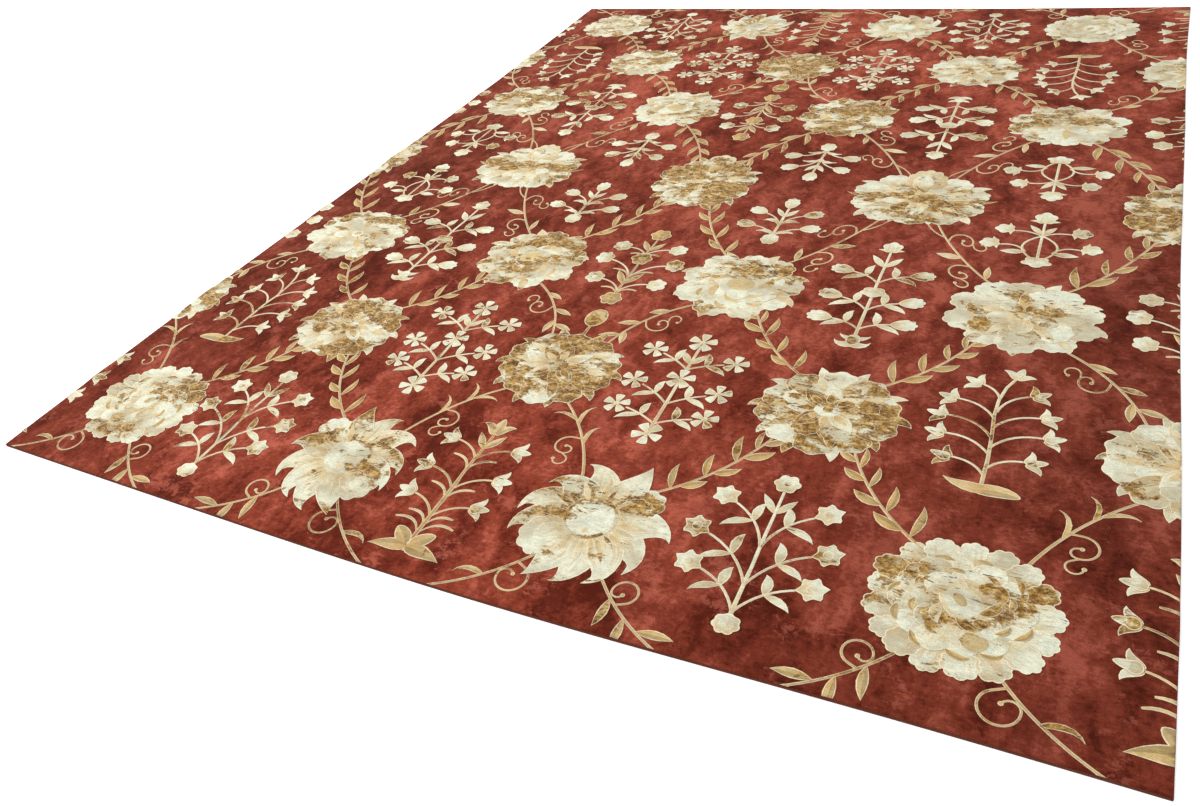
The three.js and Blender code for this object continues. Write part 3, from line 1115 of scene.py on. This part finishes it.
def palmette(seed, squash, crown, hooks):
    """A fan of scalloped petals under a crown petal, with long ribs out of its middle."""
    motif = Motif(seed, squash)
    for side in (-1, 1):
        if hooks:
            motif.leaf((-side * 0.128, 0.004), side * 88, 0.074, 0.020, 0.6, bend=side * 0.7, root=0.5)
        for heading, root, reach, width in SIDE_SEPALS:
            shape = leaf_shape(reach, width, 0.5, 0.9, -0.8 * math.sin(math.radians(side * heading)))
            motif.island(shape, around((0, 0), side * heading, root), side * heading, 0.0005, 0.15, 16)
        for number, (heading, reach, width) in enumerate(SIDE_PETALS):
            shape = lobed_shape(motif.near(reach, 0.04), motif.near(width, 0.04), 9, 0.10)
            at = around((0, 0), side * heading, 0.068)
            level = 0.0009 + STEP_UP * (number % 2)
            motif.island(shape, at, side * heading, level, motif.chance.choice((0.0, 0.08)), 36)
    motif.island(lobed_shape(0.096, 0.104, 9, 0.10), (0, -0.062), 180, 0.0014, 0.0, 36)
    add_ring(motif, Ring("spear", 17, 0.030, 0.112, 0.028, 6, 0.0019, 0.32))
    add_ring(motif, Ring("round", 10, 0.020, 0.078, 0.046, 0, 0.0024, 0.0))
    if crown == "spade":
        motif.island(lobed_shape(0.160, 0.112, 11, 0.12), (0, 0.052), 0, 0.0021, 0.30, 44)
        motif.island(lobed_shape(0.112, 0.070, 9, 0.12), (0, 0.066), 0, 0.0028, 0.10, 36)
        motif.island(leaf_shape(0.090, 0.040, 0.6, 0.8), (0, 0.074), 0, 0.0034, 0.0, 20)
    else:
        motif.island(lobed_shape(0.150, 0.126, 9, 0.10), (0, 0.070), 0, 0.0021, 0.20, 36)
        motif.island(leaf_shape(0.100, 0.040, 0.6, 0.8), (0, 0.072), 0, 0.0028, 0.50, 20)
    add_ring(motif, Ring("spear", 9, 0.008, 0.058, 0.024, 10, 0.0030, 0.40))
    motif.island(lobed_shape(0.052, 0.060, 7, 0.14), (0, -0.026), 0, 0.0035, 0.0, 28)
    motif.island(lobed_shape(0.022, 0.026), (0, -0.011), 0, 0.0038, 0.55, 12)
    return motif.to_mesh()


# %% [markdown]
# The sprigs stand between the flower heads. Each is a little plant with its own kind of
# flower, and each flower is one to six islands: a star, a bell, a pinwheel, a frilled bud, a
# five-petalled blossom or a three-lobed one.

# %% Small flowers
PETAL_LEVEL = 0.0010
SEPAL_LEVEL = 0.0006
ROOT_LEVEL = 0.0002


def star_flower(motif, at, heading, size=0.033):
    shape = lobed_shape(2 * size, 2 * size, 6, 0.32, pointed=True)
    motif.island(shape, around(at, heading, -size), heading, PETAL_LEVEL, 0.05, 28)
    shape = lobed_shape(0.6 * size, 0.6 * size)
    motif.island(shape, around(at, heading, -0.3 * size), heading, PETAL_LEVEL + 0.0004, 0.12, 12)


def bell_flower(motif, at, heading, size=0.048, spread=30, warm=0.03):
    """Three pointed petals out of one round cup, the middle one on top."""
    root = around(at, heading, -size * 0.42)
    for side in (-1, 1):
        shape = leaf_shape(size, size * 0.44, 0.35, 0.85, -side * 1.0)
        motif.island(shape, root, heading + side * spread, SEPAL_LEVEL, warm, 16)
    motif.island(leaf_shape(size, size * 0.46, 0.4, 0.62), root, heading, PETAL_LEVEL, warm, 16)
    motif.island(lobed_shape(size * 0.58, size * 0.62), root, heading, PETAL_LEVEL, warm, 16)


def pinwheel_flower(motif, at, heading, size=0.034):
    for number in range(5):
        shape = leaf_shape(size, size * 0.66, 1.1, 0.16)
        motif.island(shape, at, heading + 72 * number, PETAL_LEVEL, motif.chance.choice((0.0, 0.0, 0.16)), 16)
    motif.island(lobed_shape(0.012, 0.012), around(at, 0, -0.006), 0, PETAL_LEVEL + 0.0003, 0.2, 12)


def blossom(motif, at, heading, size=0.030, warm=0.0):
    motif.island(lobed_shape(2 * size, 2.1 * size, 6, 0.24), around(at, heading, -size), heading, PETAL_LEVEL, warm, 28)
    shape = lobed_shape(0.5 * size, 0.5 * size)
    motif.island(shape, around(at, heading, -0.25 * size), heading, PETAL_LEVEL + 0.0004, warm + 0.12, 12)


def trefoil_flower(motif, at, heading, size=0.032, warm=0.0):
    """Three lobes, with two sepals that curl back beside its foot."""
    for side in (-1, 1):
        shape = leaf_shape(size * 1.15, size * 0.40, 0.5, 1.0, -side * 0.5)
        motif.island(shape, around(at, heading, -size * 0.70), heading + side * 72, SEPAL_LEVEL, warm + 0.1, 12)
    shape = lobed_shape(1.9 * size, 1.75 * size, 5, 0.24)
    motif.island(shape, around(at, heading, -size), heading, PETAL_LEVEL, warm, 28)


def frilled_bud(motif, at, heading, size=0.031):
    shape = bud_shape(2.2 * size, 1.62 * size)
    motif.island(shape, around(at, heading, -size * 1.1), heading, PETAL_LEVEL, 0.0, 36)


def branch(motif, start, end, sag, leaf_size=0.0, warm=0.12, leaf_warm=0.10):
    """A side stem, with a leaf to each side of it if it bears any; returns its end heading."""
    line = motif.stem(bow(start, end, sag), 0.0074, 0.0060, warm)
    if leaf_size:
        outward = 1 if end[0] < start[0] else -1
        motif.leaf(line[4], outward * 6, leaf_size, leaf_size * 0.38, leaf_warm, bend=outward * 0.8)
        motif.leaf(line[4], outward * 100, leaf_size * 1.25, leaf_size * 0.32, leaf_warm, bend=-outward * 0.8)
    return heading_of(line)


def grass_blade(motif, low, out, high, warm=0.4):
    motif.stem(bow((0, low), (out, high), 0.24 if out > 0 else -0.24), 0.004, 0.0025, warm, belly=0.006)


# %% The taller sprigs, each with its foot at the origin
def star_sprig(seed):
    motif = Motif(seed)
    motif.stem([(0, 0.03), (0, 0.16), (0, 0.29), (0, 0.41)], 0.011, 0.007, 0.12)
    for side in (-1, 1):
        for low, out, high in ((0.065, 0.104, 0.152), (0.135, 0.116, 0.248), (0.235, 0.090, 0.345)):
            end = (side * motif.near(out, 0.05), motif.near(high, 0.02))
            heading = branch(motif, (0, low), end, side * 0.11, 0.056, 0.1, -0.12)
            star_flower(motif, around(end, heading, 0.022), heading)
        motif.leaf((0, 0.335), -side * 36, 0.064, 0.018, -0.12)
    motif.island(lobed_shape(0.050, 0.056, 7, 0.16), (0, 0.010), 0, PETAL_LEVEL, 0.0, 36)
    blossom(motif, (0, 0.428), 0, 0.028)
    return motif.to_mesh()


def bell_sprig(seed):
    motif = Motif(seed)
    motif.island(lobed_shape(0.044, 0.050), (0, 0.000), 0, ROOT_LEVEL, 0.72, 20)
    motif.stem([(0, 0.04), (0, 0.16), (0, 0.29), (0, 0.40)], 0.013, 0.008, 0.95)
    for side in (-1, 1):
        for low, out, high in ((0.106, 0.082, 0.158), (0.197, 0.090, 0.252), (0.303, 0.082, 0.350)):
            end = (side * out, motif.near(high, 0.02))
            heading = branch(motif, (0, low), end, side * 0.13, warm=0.45)
            bell_flower(motif, around(end, heading, 0.016), heading)
        for low, out, high in ((0.050, 0.078, 0.084), (0.072, 0.060, 0.112), (0.150, 0.060, 0.206), (0.248, 0.060, 0.305)):
            grass_blade(motif, low, side * out, high)
        motif.leaf((0, 0.340), -side * 34, 0.064, 0.020, 0.6)
        motif.leaf((side * 0.004, 0.018), -side * 46, 0.062, 0.038, 0.72, bend=side * 0.2, root=0.45, tip=0.6)
        motif.leaf((-side * 0.004, 0.014), -side * 96, 0.100, 0.036, 0.72, bend=side * 0.3, root=0.5)
    bell_flower(motif, (0, 0.420), 0, 0.058, 34, 0.55)
    return motif.to_mesh()


ARCHED_BRANCHES = (
    ((0, 0.05), (-0.076, 0.092)),
    ((0, 0.12), (-0.100, 0.165)),
    ((-0.002, 0.175), (-0.106, 0.228)),
    ((-0.003, 0.24), (-0.092, 0.295)),
    ((0.0, 0.315), (-0.046, 0.362)),
    ((0, 0.07), (0.080, 0.112)),
    ((0, 0.14), (0.108, 0.196)),
    ((-0.002, 0.205), (0.096, 0.265)),
    ((0, 0.265), (0.070, 0.340)),
)


def arched_sprig(seed):
    motif = Motif(seed)
    spine = [(0, 0.02), (0.002, 0.10), (0.0, 0.18), (-0.004, 0.25), (-0.001, 0.31), (0.010, 0.36), (0.028, 0.40)]
    motif.stem(spine, 0.010, 0.008, 0.25)
    crowns = [(around(spine[-1], -20, 0.014), -20)]
    for start, end in ARCHED_BRANCHES:
        heading = branch(motif, start, end, math.copysign(0.15, end[0]))
        crowns.append((around(end, heading, 0.014), heading))
    for at, heading in crowns:
        bell_flower(motif, at, heading * 0.8, 0.044, 42)
    motif.leaf((-0.014, 0.004), -84, 0.096, 0.034, 0.6, bend=0.5, root=0.35, tip=0.55, level=PETAL_LEVEL)
    motif.leaf((0.014, 0.006), 88, 0.096, 0.030, 0.5, bend=0.6, root=0.35, tip=1.0, level=PETAL_LEVEL)
    return motif.to_mesh()


def pinwheel_sprig(seed):
    motif = Motif(seed)
    motif.stem([(0, 0.03), (0, 0.15), (0, 0.27), (0, 0.40)], 0.011, 0.009, 0.2)
    for side in (-1, 1):
        for low, out, high in ((0.072, 0.086, 0.112), (0.150, 0.088, 0.205), (0.292, 0.088, 0.340)):
            end = (side * motif.near(out, 0.04), motif.near(high, 0.02))
            heading = branch(motif, (0, low), end, side * 0.05, 0.052)
            pinwheel_flower(motif, around(end, heading, 0.030), heading)
        motif.leaf((0, 0.315), -side * 36, 0.060, 0.019, 0.2)
    for height in (0.034, 0.250, 0.412):
        pinwheel_flower(motif, (0, height), 180 if height < 0.1 else 0, 0.038)
    return motif.to_mesh()


def bud_sprig(seed):
    motif = Motif(seed)
    motif.stem([(0, 0.03), (0, 0.19), (0, 0.34), (0, 0.47)], 0.011, 0.008, 0.08)
    for side in (-1, 1):
        for low, out, high in ((0.060, 0.080, 0.096), (0.150, 0.082, 0.200), (0.285, 0.084, 0.330)):
            end = (side * motif.near(out, 0.04), motif.near(high, 0.02))
            heading = branch(motif, (0, low), end, side * 0.10, 0.060, 0.08)
            frilled_bud(motif, around(end, heading, 0.028), heading)
        motif.leaf((0, 0.372), -side * 36, 0.074, 0.022, 0.05)
        motif.leaf((-side * 0.004, -0.008), -side * 106, 0.054, 0.024, 0.05, bend=-side * 1.5, root=0.45)
        motif.leaf((0, 0.014), -side * 82, 0.046, 0.016, 0.05, bend=-side * 0.9, root=0.5)
    motif.island(lobed_shape(0.046, 0.036), (0, -0.014), 0, PETAL_LEVEL, 0.0, 20)
    motif.island(lobed_shape(0.048, 0.072, 5, 0.20), (0, 0.262), 180, PETAL_LEVEL, 0.0, 36)
    trefoil_flower(motif, (0, 0.484), 0, 0.033)
    return motif.to_mesh()


def blossom_sprig(seed):
    motif = Motif(seed)
    motif.stem([(0, 0.03), (0, 0.15), (0, 0.27), (0, 0.39)], 0.010, 0.007, 0.7)
    for side in (-1, 1):
        for low, out, high in ((0.070, 0.080, 0.122), (0.150, 0.092, 0.225), (0.275, 0.068, 0.315)):
            end = (side * motif.near(out, 0.04), motif.near(high, 0.02))
            heading = branch(motif, (0, low), end, side * 0.15)
            blossom(motif, around(end, heading, 0.022), heading)
            grass_blade(motif, low - 0.012, side * out * 0.72, high - 0.040, 0.55)
        motif.leaf((0, 0.110), -side * 32, 0.082, 0.021, 0.75)
        motif.leaf((0, 0.300), -side * 32, 0.070, 0.020, 0.65)
    for height in (0.030, 0.252, 0.402):
        blossom(motif, (0, height), 0, 0.033, 0.85)
    return motif.to_mesh()


# %% The two short sprigs of the middle
def lyre_sprig(seed):
    motif = Motif(seed)
    motif.stem([(0, 0.02), (0, 0.09), (0, 0.17), (0, 0.246)], 0.0095, 0.008, 0.12)
    for side in (-1, 1):
        motif.stem(bow((side * 0.012, 0.033), (0, 0.164), -side * 0.30), 0.0078, 0.007, 0.12)
        heading = branch(motif, (side * 0.034, 0.072), (side * 0.104, 0.100), side * 0.20)
        trefoil_flower(motif, (side * 0.132, 0.104), heading, 0.030)
        heading = branch(motif, (0, 0.162), (side * 0.074, 0.184), side * 0.12)
        trefoil_flower(motif, (side * 0.102, 0.190), heading, 0.030)
        motif.leaf((side * 0.034, 0.068), -side * 94, 0.070, 0.024, 0.08)
        motif.leaf((0, 0.170), -side * 36, 0.060, 0.019, 0.2)
    motif.island(lobed_shape(0.056, 0.080, 5, 0.30), (0, 0.044), 180, PETAL_LEVEL, 0.03, 36)
    trefoil_flower(motif, (0, 0.268), 0, 0.036)
    return motif.to_mesh()


def posy_sprig(seed):
    motif = Motif(seed)
    motif.stem([(0, 0.04), (0, 0.11), (0, 0.17), (0, 0.235)], 0.011, 0.009, 0.10)
    for side in (-1, 1):
        for low, out, high in ((0.042, 0.078, 0.100), (0.110, 0.066, 0.184)):
            heading = branch(motif, (0, low), (side * out, high), side * 0.14)
            frilled_bud(motif, around((side * out, high), heading, 0.024), heading, 0.029)
            motif.leaf((side * 0.004, low + 0.020), -side * 62, 0.052, 0.017, 0.1, bend=side * 0.8)
            grass_blade(motif, low - 0.004, side * 0.058, low + 0.028, 0.15)
        motif.leaf((0, 0.165), -side * 34, 0.062, 0.018, 0.1)
    motif.island(lobed_shape(0.062, 0.056, 7, 0.14), (0, -0.008), 0, PETAL_LEVEL, 0.0, 36)
    frilled_bud(motif, (0, 0.254), 0, 0.030)
    return motif.to_mesh()


# %% [markdown]
# The vines run from flower head to flower head, and the outer ones run off the ends of the
# rug. Each is drawn along +Y on a line of one length, and is then turned and stretched to lie
# between its two heads.

# %% Vines
VINE_LENGTH = 0.32
END_LENGTH = 0.275


def leafy_vine(seed):
    motif = Motif(seed)
    line = motif.stem(bow((0, 0), (0, VINE_LENGTH), 0.07, 16), 0.0086, 0.0070)
    for place, left, right in ((3, 34, -56), (7, 36, -52), (11, 34, -56), (14, 28, -48)):
        size = motif.near(0.078, 0.10) * (1 - 0.010 * place)
        motif.leaf(line[place], left, size * 0.92, size * 0.33, 0.82, bend=0.6)
        motif.leaf(line[place - 1], right, size * 1.12, size * 0.25, 0.82, bend=-0.6)
    return motif.to_mesh()


def curled_vine(seed):
    """Bare bracts on one side and a double tendril on the other."""
    motif = Motif(seed)
    line = motif.stem(bow((0, 0), (0, VINE_LENGTH), -0.06, 16), 0.0084, 0.0070)
    motif.curl(line[7], 48, 1, 0.88)
    for place, heading, bend in ((6, -20, 1.3), (10, -18, 1.3), (11, 22, -1.2)):
        motif.leaf(line[place], heading, 0.078, 0.0105, 0.5, bend=bend, root=0.45, tip=0.8)
    return motif.to_mesh()


def trailing_vine(seed):
    """Hanging leaves on one side and a double tendril on the other."""
    motif = Motif(seed)
    line = motif.stem(bow((0, 0), (0, VINE_LENGTH), 0.09, 16), 0.0084, 0.0070)
    motif.curl(line[8], -48, -1, 0.92)
    for place, heading, bend in ((4, 34, 0.2), (9, 40, 0.2), (13, 40, 0.2), (12, -46, -0.2)):
        motif.leaf(line[place], heading, 0.066, 0.021, 0.6, bend=bend)
    return motif.to_mesh()


def twice_curled_vine(seed):
    """A double tendril to each side and a single leaf between them."""
    motif = Motif(seed)
    line = motif.stem(bow((0, 0), (0, VINE_LENGTH), 0.06, 16), 0.0084, 0.0070)
    motif.curl(line[5], 52, 1, 0.85)
    motif.curl(line[11], -44, -1, 0.85)
    motif.stem(bow(line[12], (-0.028, VINE_LENGTH), 0.10, 6), 0.006, 0.005)
    motif.leaf(line[7], 56, 0.072, 0.022, 0.3, bend=0.2)
    motif.leaf(line[2], -38, 0.058, 0.018, 0.5)
    return motif.to_mesh()


def leafy_end_vine(seed):
    motif = Motif(seed)
    line = motif.stem(bow((0, 0), (0, END_LENGTH), -0.07, 14), 0.0080, 0.0066)
    motif.coil(line[7], 66, 1, 0.80)
    for place, heading in ((6, -48), (9, -44), (11, 48)):
        motif.leaf(line[place], heading, 0.076, 0.020, 0.7, bend=0.3, root=1.1)
    return motif.to_mesh()


def bract_end_vine(seed):
    motif = Motif(seed)
    line = motif.stem(bow((0, 0), (0, END_LENGTH), -0.07, 14), 0.0080, 0.0066)
    motif.coil(line[4], -112, 1)
    motif.leaf(line[8], 58, 0.070, 0.013, 0.6, bend=1.3, root=0.5, tip=0.9)
    return motif.to_mesh()


# %% [markdown]
# The layout is a half-drop lattice, alike to the left and right of its axis and alike above
# and below its middle row. The tables give the near half, by rows measured from the middle row
# and columns counted from the axis. The far half is the near half turned over.

# %% Layout of the pattern
COLUMN_PLACES = (-1.462, -1.105, -0.750, -0.388, -0.040, 0.294, 0.671, 1.040, 1.413)
AXIS_COLUMN = 4
Row = namedtuple("Row", "name distance heads")
Plant = namedtuple("Plant", "name foot shift columns draw")

HEAD_ROWS = (
    Row("middle", 0.012, {0: "trefoil palmette", 2: "spade palmette", 4: "trefoil palmette"}),
    Row("inner", 0.595, {1: "folded peony", 3: "orchid peony"}),
    Row("outer", 1.080, {0: "budded rosette", 2: "rosette", 4: "rosette"}),
    Row("end", 1.563, {1: "sunflower", 3: "peony"}),
)
PLANT_ROWS = (
    Plant("lyre", 0.337, 0.002, (3,), lyre_sprig),
    Plant("posy", 0.352, 0.003, (1,), posy_sprig),
    Plant("bud", 0.795, -0.011, (2,), bud_sprig),
    Plant("blossom", 0.774, -0.003, (0, 4), blossom_sprig),
    Plant("arched", 1.254, -0.014, (3,), arched_sprig),
    Plant("pinwheel", 1.299, 0.0, (1,), pinwheel_sprig),
    Plant("star", 1.769, -0.018, (2,), star_sprig),
    Plant("bell", 1.768, -0.026, (0, 4), bell_sprig),
)
SIDE_LINKS = {
    ("middle", "inner"): (leafy_vine, twice_curled_vine, twice_curled_vine, leafy_vine),
    ("inner", "outer"): (trailing_vine, leafy_vine, leafy_vine, trailing_vine),
    ("outer", "end"): (curled_vine, leafy_vine, leafy_vine, curled_vine),
}
HEAD_REACH = 0.145
CLIP_MARGIN = 0.0012
# How much more painted bronze sheen some heads get, by row, end and column.
HEAD_BRONZE_SHEEN = {
    ("end", -1, -3): -0.06,
    ("outer", -1, -2): 0.05,
    ("outer", -1, 0): 0.12,
    ("outer", -1, 2): 0.02,
    ("inner", -1, -1): 0.02,
    ("middle", -1, 0): 0.09,
    ("middle", -1, 4): 0.08,
    ("inner", 1, 1): 0.09,
    ("outer", 1, 0): 0.09,
}


def draw_head(kind, seed):
    if kind == "spade palmette":
        return palmette(seed, (1.14, 0.98), "spade", True)
    if kind == "trefoil palmette":
        return palmette(seed, (0.98, 1.02), "trefoil", False)
    if kind == "budded rosette":
        return budded_rosette(seed)
    return flower_head(kind, seed)


def sides_of(column):
    """The axis has one column; every other one is repeated on its left and its right."""
    return (1,) if column == 0 else (-1, 1)


def column_place(column, side):
    return COLUMN_PLACES[AXIS_COLUMN + side * column]


# %% Setting the motifs down
def clip_to_rug(bm):
    """Cuts off what runs past the edges of the straight rectangle, and closes the cuts."""
    for normal, half in ((Vector((1, 0, 0)), WIDTH / 2), (Vector((0, 1, 0)), LENGTH / 2)):
        limit = half - CLIP_MARGIN
        for outward in (-normal, normal):
            if max((vert.co.dot(outward) for vert in bm.verts), default=0) <= limit:
                continue
            cut = bmesh.ops.bisect_plane(
                bm,
                geom=bm.verts[:] + bm.edges[:] + bm.faces[:],
                plane_co=outward * limit,
                plane_no=outward,
                clear_outer=True,
            )
            edges = [item for item in cut["geom_cut"] if isinstance(item, bmesh.types.BMEdge)]
            if edges:
                bmesh.ops.edgeloop_fill(bm, edges=edges)


class Piece:
    """One object of the rug's silk, which gathers many motifs."""

    def __init__(self, name, material):
        self.name = name
        self.material = material
        self.bm = bmesh.new()
        self.patches = 0

    def set_down(self, motif_mesh, matrix, brushed=0.0):
        """Turns and moves one motif to its place, clips it and takes it in. Where more of its
        pile is brushed back, more of it is painted bronze, a painted sheen."""
        bm = bmesh.new()
        bm.from_mesh(motif_mesh)
        bmesh.ops.transform(bm, matrix=matrix, verts=bm.verts)
        if matrix.determinant() < 0:
            bmesh.ops.reverse_faces(bm, faces=bm.faces)
        clip_to_rug(bm)
        patch, sheen_mark = (bm.verts.layers.float[mark] for mark in ("patch", "brushed"))
        last = 0
        for vert in bm.verts:
            vert[sheen_mark] = brushed
            last = max(last, vert[patch])
            vert[patch] += self.patches
        self.patches += round(last) + 1
        placed = bpy.data.meshes.new("placed")
        bm.to_mesh(placed)
        bm.free()
        self.bm.from_mesh(placed)
        bpy.data.meshes.remove(placed)
        bpy.data.meshes.remove(motif_mesh)

    def finish(self):
        unwrap_islands(self.bm)
        mesh = bpy.data.meshes.new(self.name)
        self.bm.to_mesh(mesh)
        self.bm.free()
        for mark in ("patch", "flat_x", "flat_y"):
            mesh.attributes.remove(mesh.attributes[mark])
        lay_down(mesh)
        mesh.shade_smooth()
        link_piece(self.name, mesh, self.material)
        print(self.name, "has", sum(len(face.vertices) - 2 for face in mesh.polygons), "triangles")


# %% [markdown]
# Every island needs its own room on the texture, because petals that overlap on the rug would
# otherwise share it. The islands are unrolled flat already, so their boxes are sorted by height and
# set side by side on shelves. The hidden feet all go to one corner, where they cost nothing.

# %% Unwrapping the islands
SHELF_GAP = 0.0016
CORNER_ROOM = 0.003


def shelve(boxes, width):
    """Places boxes of width and height on shelves; returns their corners and the height used."""
    corners = {}
    x, y, tallest = CORNER_ROOM, 0.0, 0.0
    for key in sorted(boxes, key=lambda key: -boxes[key][1]):
        wide, tall = boxes[key]
        if x + wide > width:
            x, y, tallest = 0.0, y + tallest + SHELF_GAP, 0.0
        corners[key] = (x, y)
        x += wide + SHELF_GAP
        tallest = max(tallest, tall)
    return corners, y + tallest


def unwrap_islands(bm):
    patch, flat_x, flat_y, edge = (bm.verts.layers.float[mark] for mark in ("patch", "flat_x", "flat_y", "edge"))
    spans = {}
    for vert in bm.verts:
        key = round(vert[patch])
        x, y = vert[flat_x], vert[flat_y]
        low_x, low_y, high_x, high_y = spans.get(key, (x, y, x, y))
        spans[key] = (min(low_x, x), min(low_y, y), max(high_x, x), max(high_y, y))
    boxes = {key: (high_x - low_x, high_y - low_y) for key, (low_x, low_y, high_x, high_y) in spans.items()}
    width = math.sqrt(sum(wide * tall for wide, tall in boxes.values()))
    corners, height = shelve(boxes, width)
    while height > width:
        width *= 1.03
        corners, height = shelve(boxes, width)
    sheet = bm.loops.layers.uv.new("OFBake")
    for face in bm.faces:
        buried = all(vert[edge] > 1.2 for vert in face.verts) and len(face.verts) > 4
        for loop in face.loops:
            vert = loop.vert
            key = round(vert[patch])
            x = vert[flat_x] - spans[key][0]
            y = vert[flat_y] - spans[key][1]
            if buried:
                loop[sheet].uv = (0.2 * CORNER_ROOM * (0.5 + x) / width, 0.2 * CORNER_ROOM * (0.5 + y) / width)
            else:
                loop[sheet].uv = ((corners[key][0] + x) / width, (corners[key][1] + y) / width)


# %% Flower heads on the rug
def mirror(across, end):
    return Matrix.Diagonal((across, end, 1, 1))


def lay_heads():
    for number, row in enumerate(HEAD_ROWS):
        for end in (-1, 1) if row.distance > 0.1 else (-1,):
            piece = Piece(f"heads_{row.name}_{'near' if end < 0 else 'far'}", SILK_FLOWER)
            for column, kind in row.heads.items():
                for side in sides_of(column):
                    seed = 1000 * number + 100 * column + 10 * side + end
                    at = (column_place(column, side), end * row.distance, 0)
                    place = Matrix.Translation(at) @ mirror(side, -end)
                    brushed = HEAD_BRONZE_SHEEN.get((row.name, end, side * column), -0.01)
                    piece.set_down(draw_head(kind, seed), place, brushed)
            piece.finish()


lay_heads()


# %% Sprigs on the rug
def lay_plants():
    for number, plant in enumerate(PLANT_ROWS):
        piece = Piece(f"sprigs_{plant.name}", SILK_SPRIG)
        for end in (-1, 1):
            for column in plant.columns:
                for side in sides_of(column):
                    seed = 5000 + 1000 * number + 100 * column + 10 * side + end
                    shift = plant.shift if column < AXIS_COLUMN else 0.0
                    at = (column_place(column, side) + shift, end * plant.foot, 0)
                    place = Matrix.Translation(at) @ mirror(side, -end)
                    piece.set_down(plant.draw(seed), place)
        piece.finish()


lay_plants()


# %% Vines on the rug
def run_vine(piece, draw, root_head, tip_head, hand, seed):
    """Lays a vine between two heads; the hand turns it over to its mirror image."""
    way = (tip_head - root_head).normalized()
    root = root_head + way * HEAD_REACH
    run = tip_head - way * HEAD_REACH - root
    turn = Matrix.Rotation(math.atan2(-run.x, run.y), 4, "Z")
    size = Matrix.Diagonal((hand, run.length / VINE_LENGTH, 1, 1))
    piece.set_down(draw(seed), Matrix.Translation(root) @ turn @ size)


def lay_vines():
    rows = {row.name: row for row in HEAD_ROWS}
    for (inner_name, outer_name), links in SIDE_LINKS.items():
        piece = Piece(f"vines_{outer_name}", SILK_VINE)
        inner, outer = rows[inner_name], rows[outer_name]
        for end in (-1, 1):
            for column, draw in enumerate(links):
                inner_column = column if column in inner.heads else column + 1
                outer_column = column + 1 if inner_column == column else column
                for side in (-1, 1):
                    inner_head = Vector((column_place(inner_column, side), end * inner.distance, 0))
                    outer_head = Vector((column_place(outer_column, side), end * outer.distance, 0))
                    leans_in = 1 if inner_column < outer_column else -1
                    ends = (inner_head, outer_head) if draw is trailing_vine else (outer_head, inner_head)
                    seed = 9000 + 97 * column + 11 * side + end
                    run_vine(piece, draw, *ends, -side * end * leans_in, seed)
        piece.finish()


def lay_end_vines():
    piece = Piece("vines_ends", SILK_VINE)
    row = HEAD_ROWS[-1]
    for end in (-1, 1):
        for column in row.heads:
            for side in (-1, 1):
                head = Vector((column_place(column, side), end * row.distance, 0))
                for lean in (-1, 1):
                    draw = leafy_end_vine if (lean == side) == (column == 1) else bract_end_vine
                    root = head + Vector((lean * 0.050, end * 0.088, 0))
                    way = Vector((lean * 0.195, end * 0.172, 0))
                    turn = Matrix.Rotation(math.atan2(-way.x, way.y), 4, "Z")
                    place = Matrix.Translation(root) @ turn @ mirror(-lean * end, 1)
                    piece.set_down(draw(7000 + column + 10 * side + 100 * lean + end), place)
    piece.finish()


lay_vines()
lay_end_vines()
